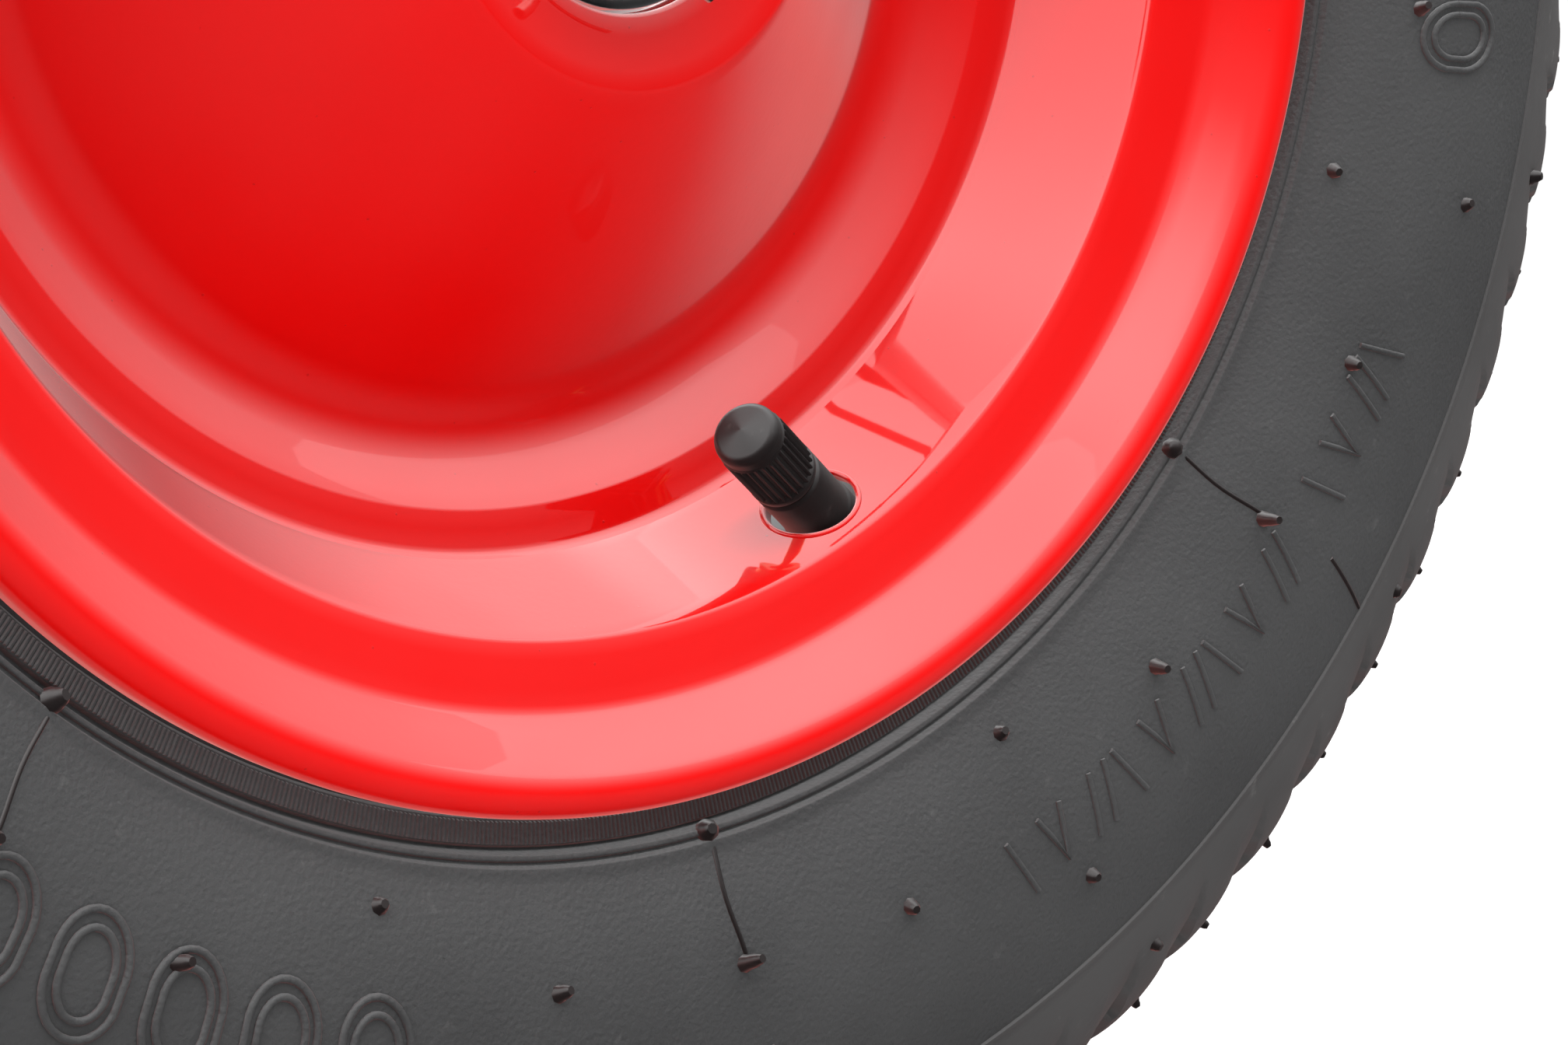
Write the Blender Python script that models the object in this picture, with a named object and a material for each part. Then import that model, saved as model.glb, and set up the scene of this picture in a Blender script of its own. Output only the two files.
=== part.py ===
"""Two-wheel hand truck: tubular frame, toe plate, axle and two pneumatic wheels on pressed steel rims.

Metres, +Z up. X runs across the truck, -Y is the toe-plate side, and the origin is on the floor below
the middle of the whole truck. Each wheel is drawn as turned outlines of (radius, depth) points in
millimetres, where depth 0 is the plane of the tyre's outboard bead ring and grows outwards.
"""
import math

import bmesh
import bpy
from mathutils import Vector

MM = 0.001
GAP = 0.3                   # between pieces that touch, in mm as every size below
SMOOTH_ANGLE = math.radians(35)

# wheel
WHEEL_RADIUS = 200.0
BEAD_PLANE = 41.0           # from the wheel's middle plane to the outboard bead ring
WHEEL_MIDDLE_X = 225.0
RIM_SHEET = 2.2
DISC_SHEET = 2.0
TYRE_SEGMENTS = 28          # the rim ring has the same, so that their flats face each other
DISC_SEGMENTS = 20
ROUND_SEGMENTS = 16
DRILL_REACH = 8.0
HUB_BORE_RADIUS = 18.5
HUB_TUBE_RADIUS = 20.6
HUB_END_DEPTH = -3.2

# valve
VALVE_ANGLE = math.radians(300.5)
VALVE_RADIUS = 91.0
VALVE_DEPTH = -13.5
VALVE_LEAN = (0.79, 0.35, -0.48)    # towards the axle, outboard, and around the rim
VALVE_HOLE_RADIUS = 5.9     # bored along the stem
STEM_RADIUS = 4.7
STEM_LENGTH = 9.0
STEM_ROOT = 30.0
TIP_RADIUS = 3.6
TIP_LENGTH = 19.0
STEM_BORE = 2.0
CAP_RADIUS = 4.75
CAP_LENGTH = 14.0
CAP_TOP = [(1.0, 0.7), (0.82, 0.25), (0.42, 0.0)]   # (radius, depth from its end), both by CAP_RADIUS
VALVE_SEGMENTS = 10
VALVE_PIN_RADIUS = 0.8
VALVE_PIN_COLLAR = 1.5      # the collar's radius and its length
VALVE_PIN_FOOT = 3.0
VALVE_PIN_HEAD = 11.0
VALVE_PIN_TOP = 18.0

# inner tube
TUBE_CIRCLE = 140.0
TUBE_RADIUS = 36.5
TUBE_WALL = 2.0
TUBE_SIDES = 7
TUBE_SEGMENTS = 20

# bearings: 20 x 37 x 9
BEARING_MIDDLE = -6.4
BEARING_WIDTH = 9.0
RACE_WALL = 2.35
TRACK_HALF = 2.0
TRACK_REACH = 2.5
BALL_RADIUS = 2.1
BALL_CIRCLE = 14.25
BALL_COUNT = 7
BALL_SHOULDER = 0.5          # half width of a bead's thick part, and its thickness there,
BALL_FLANK = 0.9             # as parts of the ball's radius
CAGE_WALL = 0.9
CAGE_SIDES = 6

# axle and what holds the wheels on it
AXLE_RADIUS = 9.95
AXLE_END = 16.0             # past the bead plane
SPACER_RADIUS = 13.0
WASHER_RADIUS = 16.0
WASHER_THICKNESS = 2.5
WASHER_DEPTH = 2.7
PIN_DEPTH = 9.0
PIN_RADIUS = 1.6
PIN_EYE = 4.0
PIN_EYE_TURN = (210.0, -90.0)
PIN_EYE_STEPS = 10
PIN_CLEAR = 2.0             # from the axle to the eye
PIN_TAIL = [(0.0, 2.0), (2.0, 5.0), (6.0, 7.0)]     # (sideways, below the axle)
PIN_SIDES = 6

# frame
AXLE_Y = 85.0
RAIL_X = 145.0
RAIL_Y = -45.0
RAIL_RADIUS = 14.0
RAIL_WALL = 2.0
RAIL_FOOT = 8.0
RAIL_STRAIGHT = 1020.0
HANDLE_BEND = 100.0
HANDLE_TURN = math.radians(75)
HANDLE_LENGTH = 165.0
HANDLE_STEPS = 6
RAIL_SIDES = 12
GRIP_LENGTH = 130.0
GRIP_WALL = 4.0
GRIP_EDGE = 2.0
CROSSBAR_RADIUS = 10.0
CROSSBAR_WALL = 1.6
CROSSBAR_HEIGHTS = {"lower": 105.0, "middle": 400.0, "upper": 680.0, "top": 960.0}
TOE_WIDTH = 380.0
TOE_FRONT = -285.0
TOE_THICKNESS = 5.0
TOE_FLANGE = 70.0
TOE_CORNER = 25.0
TOE_CORNER_STEPS = 5
TOE_TOP_CORNER = 15.0
TOE_TOP_CORNER_STEPS = 4
TOE_BEND = 7.0
TOE_BEND_STEPS = 4
TOE_BEND_INNER_STEPS = 2
GUSSET_SIZE = 62.0
GUSSET_THICKNESS = 4.0
GUSSET_CORNER = 7.0
BRACKET_THICKNESS = 5.0
BRACKET_LOW = 95.0
BRACKET_HIGH = 310.0
BRACKET_EYE = 28.0
BRACKET_EYE_TURN = 60.0
ROUND_END_STEPS = 8
STAY_WIDTH = 22.0
STAY_THICKNESS = 4.0
STAY_TOP = 560.0

RIGHT = 1
LEFT = -1
SIDES = {"right": RIGHT, "left": LEFT}
SEAT_POINTS = slice(4, 6)   # the part of the rim line that the tyre's bead sits on
NEAR = 0.1                  # how close two coordinates are when they count as the same

# seen side of the rim ring, from the rolled lip's free edge to the middle of the well
RIM_LINE = [
    (114.9, 0.4), (114.2, 3.4), (110.8, 5.4), (106.0, 2.6), (100.2, -2.4), (94.5, -5.5), (86.1, -25.6),
]
# seen side of a pressed disc, from the edge welded into the well to the dished nose at the hub
DISC_LINE = [
    (85.2, -34.0), (85.2, -25.8), (81.0, -26.5), (76.0, -30.6), (70.5, -32.6), (64.6, -30.6),
    (27.9, 0.6), (18.6, -0.8),
]
# outside of the tyre from the bead ring over the shoulder to the crown
TYRE_LINE = [
    (120.4, 1.7), (132.0, 7.1), (146.0, 9.0), (163.5, 6.9), (184.0, -4.5), (195.5, -20.5),
    (WHEEL_RADIUS, -BEAD_PLANE),
]
# the tyre's foot from under the rim's lip to the bead ring
TYRE_FOOT = [(107.4, -0.9), (115.0, -0.7), (119.0, 0.6)]
# inside of the tyre from the crown down to the bead
TYRE_BORE = [
    (190.5, -BEAD_PLANE), (181.0, -13.0), (150.0, 3.6), (120.0, -4.2), (101.5, -11.4), (96.8, -9.0),
]

MATERIALS = {
    "red_paint": ((0.78, 0.004, 0.004), 0.18, 0.0),
    "tyre_rubber": ((0.035, 0.035, 0.036), 0.72, 0.0),
    "black_rubber": ((0.02, 0.017, 0.017), 0.5, 0.0),
    "zinc_steel": ((0.62, 0.62, 0.6), 0.32, 1.0),
    "bearing_steel": ((0.7, 0.71, 0.73), 0.2, 1.0),
    "brass": ((0.72, 0.5, 0.2), 0.3, 1.0),
}


# ---------------------------------------------------------------- helpers

def clear_scene():
    for obj in list(bpy.data.objects):
        bpy.data.objects.remove(obj)


def material(name):
    found = bpy.data.materials.get(name)
    if found:
        return found
    color, roughness, metallic = MATERIALS[name]
    made = bpy.data.materials.new(name)
    made.use_nodes = True
    shader = made.node_tree.nodes["Principled BSDF"]
    shader.inputs["Base Color"].default_value = (*color, 1.0)
    shader.inputs["Roughness"].default_value = roughness
    shader.inputs["Metallic"].default_value = metallic
    return made


def add_object(name, bm, slot, place):
    """A mesh object from a bmesh drawn in millimetres about place, also in millimetres."""
    bmesh.ops.recalc_face_normals(bm, faces=bm.faces)
    bmesh.ops.scale(bm, vec=(MM, MM, MM), verts=bm.verts)
    mesh = bpy.data.meshes.new(name)
    bm.to_mesh(mesh)
    bm.free()
    mesh.shade_smooth()
    mesh.set_sharp_from_angle(angle=SMOOTH_ANGLE)
    obj = bpy.data.objects.new(name, mesh)
    obj.location = Vector(place) * MM
    bpy.context.collection.objects.link(obj)
    mesh.materials.append(material(slot))
    return obj


def combine(target, tool, operation):
    """Join or cut the target with a tool object, which stays behind as a guide."""
    tool.hide_render = True
    tool.display_type = "WIRE"
    modifier = target.modifiers.new(tool.name, "BOOLEAN")
    modifier.operation = operation
    modifier.solver = "EXACT"
    modifier.object = tool


def skin(bm, rings, ring_shaped):
    """Faces between neighbouring rings; a ring shape closes on itself, a solid gets two end faces."""
    pairs = list(zip(rings, rings[1:]))
    if ring_shaped:
        pairs.append((rings[-1], rings[0]))
    else:
        bm.faces.new(rings[0])
        bm.faces.new(rings[-1])
    for low, high in pairs:
        for i in range(len(low)):
            j = (i + 1) % len(low)
            bm.faces.new((low[i], low[j], high[j], high[i]))


def spun(name, outline, sides, slot, place, along=(1.0, 0.0, 0.0), ring_shaped=True):
    """Turn (radius, distance) points about the line through place that runs along a direction."""
    turn = Vector(along).to_track_quat("X", "Z")
    bm = bmesh.new()
    rings = []
    for radius, distance in outline:
        angles = (2 * math.pi * i / sides for i in range(sides))
        rings.append([
            bm.verts.new(turn @ Vector((distance, radius * math.cos(a), radius * math.sin(a))))
            for a in angles
        ])
    skin(bm, rings, ring_shaped)
    return add_object(name, bm, slot, place)


def rod(name, radius, start, end, sides, slot, place, along):
    """A solid round bar between two distances along a line through place."""
    return spun(name, [(radius, start), (radius, end)], sides, slot, place, along, ring_shaped=False)


def swept(name, path, radii, sides, slot, place=(0.0, 0.0, 0.0), across=(1.0, 0.0, 0.0)):
    """A tube (two radii) or bar (one radius) along a path that lies square to across."""
    points = [Vector(p) for p in path]
    across = Vector(across)
    bm = bmesh.new()
    walls = []
    for radius in radii:
        rings = []
        for i, point in enumerate(points):
            along = points[min(i + 1, len(points) - 1)] - points[max(i - 1, 0)]
            up = along.normalized().cross(across)
            angles = (2 * math.pi * k / sides for k in range(sides))
            rings.append([
                bm.verts.new(point + (across * math.cos(a) + up * math.sin(a)) * radius) for a in angles
            ])
        walls.append(rings)
    if len(walls) == 2:
        skin(bm, walls[0] + walls[1][::-1], ring_shaped=True)
    else:
        skin(bm, walls[0], ring_shaped=False)
    return add_object(name, bm, slot, place)


def plate(name, outline, low, high, slot):
    """A flat plate: a closed outline in YZ, spread along X from low to high."""
    bm = bmesh.new()
    face = bm.faces.new([bm.verts.new((low, y, z)) for y, z in outline])
    grown = bmesh.ops.extrude_face_region(bm, geom=[face])["geom"]
    moved = [v for v in grown if isinstance(v, bmesh.types.BMVert)]
    bmesh.ops.translate(bm, vec=(high - low, 0.0, 0.0), verts=moved)
    return add_object(name, bm, slot, (0.0, 0.0, 0.0))


def arc(center, radius, start, end, steps):
    """Points on an arc of a plane outline; the angles are in degrees."""
    angles = (math.radians(start + (end - start) * i / steps) for i in range(steps + 1))
    return [(center[0] + radius * math.cos(a), center[1] + radius * math.sin(a)) for a in angles]


def offset_line(line, distance):
    """The same outline moved to the right of its direction of travel."""
    moved = []
    for i, point in enumerate(line):
        here = Vector(point)
        legs = [here - Vector(line[i - 1])] if i else []
        if i < len(line) - 1:
            legs.append(Vector(line[i + 1]) - here)
        normals = [Vector((leg.y, -leg.x)).normalized() for leg in legs]
        middle = sum(normals, Vector((0.0, 0.0))).normalized()
        moved.append(tuple(here + middle * distance / middle.dot(normals[0])))
    return moved


def mirrored(line):
    """A wheel outline seen across the wheel's middle plane, in reverse order."""
    return [(radius, -2 * BEAD_PLANE - depth) for radius, depth in reversed(line)]


def sheet(line, thickness):
    """The closed outline of a pressed sheet whose seen side is the line."""
    return line + offset_line(line, -thickness)[::-1]


def wheel_spun(name, outline, sides, slot, side):
    """A ring turned about the axle from (radius, depth) points of one side's wheel."""
    shifted = [(radius, BEAD_PLANE + depth) for radius, depth in outline]
    return spun(name, shifted, sides, slot, wheel_center(side), (side, 0.0, 0.0))


def sleeve(name, inner, outer, start, end, slot, side):
    """A plain ring on the axle between two depths."""
    outline = [(inner, start), (outer, start), (outer, end), (inner, end)]
    return wheel_spun(name, outline, ROUND_SEGMENTS, slot, side)


def wheel_center(side):
    return (side * WHEEL_MIDDLE_X, AXLE_Y, WHEEL_RADIUS)


# ---------------------------------------------------------------- wheels

def build_tyre(label, side):
    seat = offset_line(RIM_LINE, -(RIM_SHEET + GAP))[SEAT_POINTS]
    outside = seat[::-1] + TYRE_FOOT + TYRE_LINE
    outline = outside + mirrored(outside)[1:] + mirrored(TYRE_BORE) + TYRE_BORE[1:]
    wheel_spun(f"tyre_{label}", outline, TYRE_SEGMENTS, "tyre_rubber", side)


def valve_line(side):
    """The valve hole's centre on the rim's seen side, and the stem's direction."""
    inward = Vector((0.0, -math.cos(VALVE_ANGLE), -math.sin(VALVE_ANGLE)))
    around = Vector((0.0, -math.sin(VALVE_ANGLE), math.cos(VALVE_ANGLE)))
    outboard = Vector((side, 0.0, 0.0))
    hole = outboard * (BEAD_PLANE + VALVE_DEPTH) - inward * VALVE_RADIUS
    towards, out, sideways = VALVE_LEAN
    lean = (inward * towards + outboard * out + around * sideways).normalized()
    return hole + Vector(wheel_center(side)), lean


def build_rim(label, side):
    line = RIM_LINE + mirrored(RIM_LINE)
    ring = wheel_spun(f"rim_ring_{label}", sheet(line, RIM_SHEET), TYRE_SEGMENTS, "red_paint", side)
    hole, lean = valve_line(side)
    drill = rod(f"cut_valve_hole_{label}", VALVE_HOLE_RADIUS, -DRILL_REACH, DRILL_REACH, ROUND_SEGMENTS,
                "red_paint", hole, lean)
    combine(ring, drill, "DIFFERENCE")
    faces = {"outboard": DISC_LINE, "inboard": mirrored(DISC_LINE)}
    for face, seen in faces.items():
        wheel_spun(f"rim_disc_{face}_{label}", sheet(seen, DISC_SHEET), DISC_SEGMENTS, "red_paint", side)
    sleeve(f"hub_tube_{label}", HUB_BORE_RADIUS, HUB_TUBE_RADIUS, -2 * BEAD_PLANE - HUB_END_DEPTH,
           HUB_END_DEPTH, "red_paint", side)


def build_inner_tube(label, side):
    """A hollow rubber tube whose stem is bored through, with a brass tip for the cap."""
    center = wheel_center(side)
    along = (side, 0.0, 0.0)

    def ring_of(name, radius):
        outline = arc((TUBE_CIRCLE, 0.0), radius, 0.0, 360.0 - 360.0 / TUBE_SIDES, TUBE_SIDES - 1)
        return spun(name, outline, TUBE_SEGMENTS, "black_rubber", center, along)

    tube = ring_of(f"inner_tube_{label}", TUBE_RADIUS)
    hole, lean = valve_line(side)
    stem_line = [
        (STEM_RADIUS, -STEM_ROOT), (STEM_RADIUS, STEM_LENGTH), (TIP_RADIUS, STEM_LENGTH),
        (TIP_RADIUS, TIP_LENGTH),
    ]
    stem = spun(f"add_stem_{label}", stem_line, VALVE_SEGMENTS, "black_rubber", hole, lean,
                ring_shaped=False)
    combine(tube, stem, "UNION")
    combine(tube, ring_of(f"cut_tube_air_{label}", TUBE_RADIUS - TUBE_WALL), "DIFFERENCE")
    bore = rod(f"cut_stem_bore_{label}", STEM_BORE, -STEM_ROOT, TIP_LENGTH + DRILL_REACH,
               VALVE_SEGMENTS, "black_rubber", hole, lean)
    combine(tube, bore, "DIFFERENCE")


def build_valve(label, side):
    """The dust cap and the sprung pin in the stem, each with its origin on the stem's line."""
    hole, lean = valve_line(side)
    start = STEM_LENGTH + GAP
    end = start + CAP_LENGTH
    inside = TIP_RADIUS + GAP
    cap_line = [(inside, TIP_LENGTH + 2 * GAP), (inside, start), (CAP_RADIUS, start)]
    cap_line += [(wide * CAP_RADIUS, end - down * CAP_RADIUS) for wide, down in CAP_TOP]
    spun(f"valve_cap_{label}", cap_line, VALVE_SEGMENTS, "black_rubber", hole, lean, ring_shaped=False)
    collar_end = VALVE_PIN_HEAD + VALVE_PIN_COLLAR
    pin_line = [
        (VALVE_PIN_RADIUS, VALVE_PIN_FOOT), (VALVE_PIN_RADIUS, VALVE_PIN_HEAD),
        (VALVE_PIN_COLLAR, VALVE_PIN_HEAD), (VALVE_PIN_COLLAR, collar_end),
        (VALVE_PIN_RADIUS, collar_end), (VALVE_PIN_RADIUS, VALVE_PIN_TOP),
    ]
    spun(f"valve_pin_{label}", pin_line, PIN_SIDES, "brass", hole, lean, ring_shaped=False)


# ---------------------------------------------------------------- bearings

def race_line(plain, back, groove, middle):
    """A race's closed outline: plain back, grooved track, both about a middle depth."""
    half = BEARING_WIDTH / 2
    return [
        (back, middle - half), (back, middle + half), (plain, middle + half),
        (plain, middle + TRACK_HALF), (groove, middle), (plain, middle - TRACK_HALF),
        (plain, middle - half),
    ]


def build_bearing(label, side, face, middle):
    outer_back = HUB_BORE_RADIUS - GAP
    outer = race_line(outer_back - RACE_WALL, outer_back, BALL_CIRCLE + TRACK_REACH, middle)
    wheel_spun(f"bearing_outer_{face}_{label}", outer, ROUND_SEGMENTS, "bearing_steel", side)
    inner_back = AXLE_RADIUS + GAP
    inner = race_line(inner_back + RACE_WALL, inner_back, BALL_CIRCLE - TRACK_REACH, middle)
    wheel_spun(f"bearing_inner_{face}_{label}", inner, ROUND_SEGMENTS, "bearing_steel", side)
    build_ball_cage(f"ball_cage_{face}_{label}", side, middle)


def build_ball_cage(name, side, middle):
    """The balls as beads on a thin ring: each bead has a middle and a shoulder either way."""
    shoulder = math.asin(BALL_SHOULDER * BALL_RADIUS / BALL_CIRCLE)
    bead = math.asin(BALL_RADIUS / BALL_CIRCLE)
    flank = BALL_FLANK * BALL_RADIUS
    steps = [(-bead, CAGE_WALL), (-shoulder, flank), (shoulder, flank), (bead, CAGE_WALL)]
    outboard = Vector((1.0, 0.0, 0.0))
    bm = bmesh.new()
    rings = []
    for i in range(BALL_COUNT):
        for step, thickness in steps:
            a = 2 * math.pi * i / BALL_COUNT + step
            away = Vector((0.0, math.cos(a), math.sin(a)))
            center = away * BALL_CIRCLE + outboard * side * (BEAD_PLANE + middle)
            turns = (2 * math.pi * k / CAGE_SIDES for k in range(CAGE_SIDES))
            rings.append([
                bm.verts.new(center + (away * math.cos(t) + outboard * math.sin(t)) * thickness)
                for t in turns
            ])
    skin(bm, rings, ring_shaped=True)
    add_object(name, bm, "bearing_steel", wheel_center(side))


# ---------------------------------------------------------------- axle

def build_axle():
    half = WHEEL_MIDDLE_X + BEAD_PLANE + AXLE_END
    axle = rod("axle", AXLE_RADIUS, -half, half, ROUND_SEGMENTS, "zinc_steel",
               (0.0, AXLE_Y, WHEEL_RADIUS), (1.0, 0.0, 0.0))
    for label, side in SIDES.items():
        x = side * (WHEEL_MIDDLE_X + BEAD_PLANE + PIN_DEPTH)
        drill = rod(f"cut_pin_hole_{label}", PIN_RADIUS + GAP, -2 * AXLE_RADIUS, 2 * AXLE_RADIUS,
                    PIN_SIDES, "zinc_steel", (x, AXLE_Y, WHEEL_RADIUS), (0.0, 0.0, 1.0))
        combine(axle, drill, "DIFFERENCE")


def build_axle_fittings(label, side):
    bore = AXLE_RADIUS + GAP
    bearing_inner_face = -2 * BEAD_PLANE - BEARING_MIDDLE - BEARING_WIDTH / 2
    bracket_face = RAIL_X + BRACKET_THICKNESS / 2 - WHEEL_MIDDLE_X - BEAD_PLANE
    sleeve(f"axle_spacer_{label}", bore, SPACER_RADIUS, bracket_face + GAP, bearing_inner_face - GAP,
           "zinc_steel", side)
    bearing_outer_face = BEARING_MIDDLE + BEARING_WIDTH / 2
    sleeve(f"axle_collar_{label}", bore, SPACER_RADIUS, bearing_outer_face + GAP, WASHER_DEPTH - GAP,
           "zinc_steel", side)
    sleeve(f"axle_washer_{label}", bore, WASHER_RADIUS, WASHER_DEPTH, WASHER_DEPTH + WASHER_THICKNESS,
           "zinc_steel", side)
    eye = arc((0.0, AXLE_RADIUS + PIN_CLEAR + PIN_EYE), PIN_EYE, *PIN_EYE_TURN, PIN_EYE_STEPS)
    tail = [(sideways, -AXLE_RADIUS - below) for sideways, below in PIN_TAIL]
    x = side * (WHEEL_MIDDLE_X + BEAD_PLANE + PIN_DEPTH)
    path = [(0.0, y, z) for y, z in eye + tail]
    swept(f"split_pin_{label}", path, [PIN_RADIUS], PIN_SIDES, "zinc_steel", (x, AXLE_Y, WHEEL_RADIUS))


# ---------------------------------------------------------------- frame

def build_rail(label, side):
    """A straight side tube whose top bends back into a handle, with its rubber grip."""
    x = side * RAIL_X
    bend = arc((RAIL_Y + HANDLE_BEND, RAIL_STRAIGHT), HANDLE_BEND, 180.0,
               180.0 - math.degrees(HANDLE_TURN), HANDLE_STEPS)
    back = Vector((0.0, math.sin(HANDLE_TURN), math.cos(HANDLE_TURN)))
    path = [Vector((x, RAIL_Y, RAIL_FOOT))] + [Vector((x, y, z)) for y, z in bend]
    tip = path[-1] + back * HANDLE_LENGTH
    path.append(tip)
    swept(f"rail_{label}", path, [RAIL_RADIUS, RAIL_RADIUS - RAIL_WALL], RAIL_SIDES, "red_paint")
    inside = RAIL_RADIUS + GAP
    outside = inside + GRIP_WALL
    grip_line = [
        (inside, GAP), (inside, -GRIP_LENGTH), (outside, -GRIP_LENGTH),
        (outside, GRIP_WALL - GRIP_EDGE), (outside - GRIP_EDGE, GRIP_WALL),
    ]
    spun(f"grip_{label}", grip_line, ROUND_SEGMENTS, "black_rubber", tip, back, ring_shaped=False)


def build_crossbars():
    tools = [
        rod(f"cut_rail_{label}", RAIL_RADIUS + 2 * GAP, 0.0, RAIL_STRAIGHT, ROUND_SEGMENTS, "red_paint",
            (side * RAIL_X, RAIL_Y, 0.0), (0.0, 0.0, 1.0))
        for label, side in SIDES.items()
    ]
    for label, height in CROSSBAR_HEIGHTS.items():
        outer = CROSSBAR_RADIUS
        inner = CROSSBAR_RADIUS - CROSSBAR_WALL
        outline = [(inner, -RAIL_X), (outer, -RAIL_X), (outer, RAIL_X), (inner, RAIL_X)]
        bar = spun(f"crossbar_{label}", outline, RAIL_SIDES, "red_paint", (0.0, RAIL_Y, height))
        for tool in tools:
            combine(bar, tool, "DIFFERENCE")


def build_toe_plate():
    back = RAIL_Y - RAIL_RADIUS - GAP
    center = (back - TOE_BEND, TOE_BEND)
    outline = [(TOE_FRONT, 0.0)] + arc(center, TOE_BEND, -90.0, 0.0, TOE_BEND_STEPS)
    outline += [(back, TOE_FLANGE), (back - TOE_THICKNESS, TOE_FLANGE)]
    outline += arc(center, TOE_BEND - TOE_THICKNESS, 0.0, -90.0, TOE_BEND_INNER_STEPS)
    outline += [(TOE_FRONT, TOE_THICKNESS)]
    toe = plate("toe_plate", outline, -TOE_WIDTH / 2, TOE_WIDTH / 2, "red_paint")
    bm = bmesh.new()
    bm.from_mesh(toe.data)

    def corner_edges(axis, other, level):
        """Edges at the two ends of the plate that run along one axis at a level of the other."""
        found = []
        for edge in bm.edges:
            a, b = (v.co / MM for v in edge.verts)
            at_end = abs(abs(a.x) - TOE_WIDTH / 2) < NEAR and abs(a.x - b.x) < NEAR
            at_level = abs(a[other] - level) < NEAR and abs(b[other] - level) < NEAR
            across_sheet = abs(abs(a[axis] - b[axis]) - TOE_THICKNESS) < NEAR
            if at_end and at_level and across_sheet:
                found.append(edge)
        return found

    front = corner_edges(axis=2, other=1, level=TOE_FRONT)
    top = corner_edges(axis=1, other=2, level=TOE_FLANGE)
    bmesh.ops.bevel(bm, geom=front, offset=TOE_CORNER * MM, segments=TOE_CORNER_STEPS, profile=0.5,
                    affect="EDGES")
    top = [edge for edge in top if edge.is_valid]
    bmesh.ops.bevel(bm, geom=top, offset=TOE_TOP_CORNER * MM, segments=TOE_TOP_CORNER_STEPS, profile=0.5,
                    affect="EDGES")
    bm.to_mesh(toe.data)
    bm.free()
    toe.data.set_sharp_from_angle(angle=SMOOTH_ANGLE)


def build_gusset(label, side):
    flange = RAIL_Y - RAIL_RADIUS - TOE_THICKNESS - 2 * GAP
    floor = TOE_THICKNESS + GAP
    low = floor + GUSSET_CORNER
    high = floor + GUSSET_SIZE - GUSSET_CORNER
    outline = [
        (flange, low), (flange, high), (flange - GUSSET_CORNER, high), (flange - GUSSET_SIZE, low),
        (flange - GUSSET_SIZE, floor), (flange - GUSSET_CORNER, floor),
    ]
    near = side * RAIL_X - GUSSET_THICKNESS / 2
    plate(f"toe_gusset_{label}", outline, near, near + GUSSET_THICKNESS, "red_paint")


def eye_hole(target, name):
    """Drill a plate for the axle."""
    drill = rod(name, AXLE_RADIUS + GAP, -RAIL_X - BRACKET_EYE, RAIL_X + BRACKET_EYE, ROUND_SEGMENTS,
                "red_paint", (0.0, AXLE_Y, WHEEL_RADIUS), (1.0, 0.0, 0.0))
    combine(target, drill, "DIFFERENCE")


def build_bracket(label, side):
    """The plate behind a rail that carries the axle."""
    rail_back = RAIL_Y + RAIL_RADIUS + GAP
    outline = [(rail_back, BRACKET_LOW)]
    outline += arc((AXLE_Y, WHEEL_RADIUS), BRACKET_EYE, -BRACKET_EYE_TURN, BRACKET_EYE_TURN,
                   ROUND_END_STEPS)
    outline += [(rail_back, BRACKET_HIGH)]
    low = side * RAIL_X - BRACKET_THICKNESS / 2
    bracket = plate(f"axle_bracket_{label}", outline, low, low + BRACKET_THICKNESS, "red_paint")
    eye_hole(bracket, f"cut_bracket_eye_{label}")


def build_stay(label, side):
    """The flat bar from the axle up to the back of the rail."""
    rail_back = RAIL_Y + RAIL_RADIUS + GAP
    axle = Vector((AXLE_Y, WHEEL_RADIUS))
    run = Vector((rail_back, STAY_TOP)) - axle
    run.normalize()
    square = Vector((run.y, -run.x)) * STAY_WIDTH / 2
    ends = []
    for edge in (axle + square, axle - square):
        reach = (rail_back - edge.x) / run.x
        ends.append(tuple(edge + run * reach))
    turn = math.degrees(math.atan2(square.y, square.x))
    outline = arc(axle, STAY_WIDTH / 2, turn - 180.0, turn, ROUND_END_STEPS) + ends
    inner = RAIL_X - BRACKET_THICKNESS / 2 - GAP - STAY_THICKNESS
    low = inner if side == RIGHT else -inner - STAY_THICKNESS
    bar = plate(f"stay_{label}", outline, low, low + STAY_THICKNESS, "red_paint")
    eye_hole(bar, f"cut_stay_eye_{label}")


def main():
    clear_scene()
    build_toe_plate()
    build_crossbars()
    build_axle()
    for label, side in SIDES.items():
        build_rail(label, side)
        build_gusset(label, side)
        build_bracket(label, side)
        build_stay(label, side)
        build_axle_fittings(label, side)
        build_tyre(label, side)
        build_rim(label, side)
        build_inner_tube(label, side)
        build_valve(label, side)
        build_bearing(label, side, "outboard", BEARING_MIDDLE)
        build_bearing(label, side, "inboard", -2 * BEAD_PLANE - BEARING_MIDDLE)


main()
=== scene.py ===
import bpy, bmesh, math
import numpy as np
from mathutils import Matrix, Vector


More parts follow.
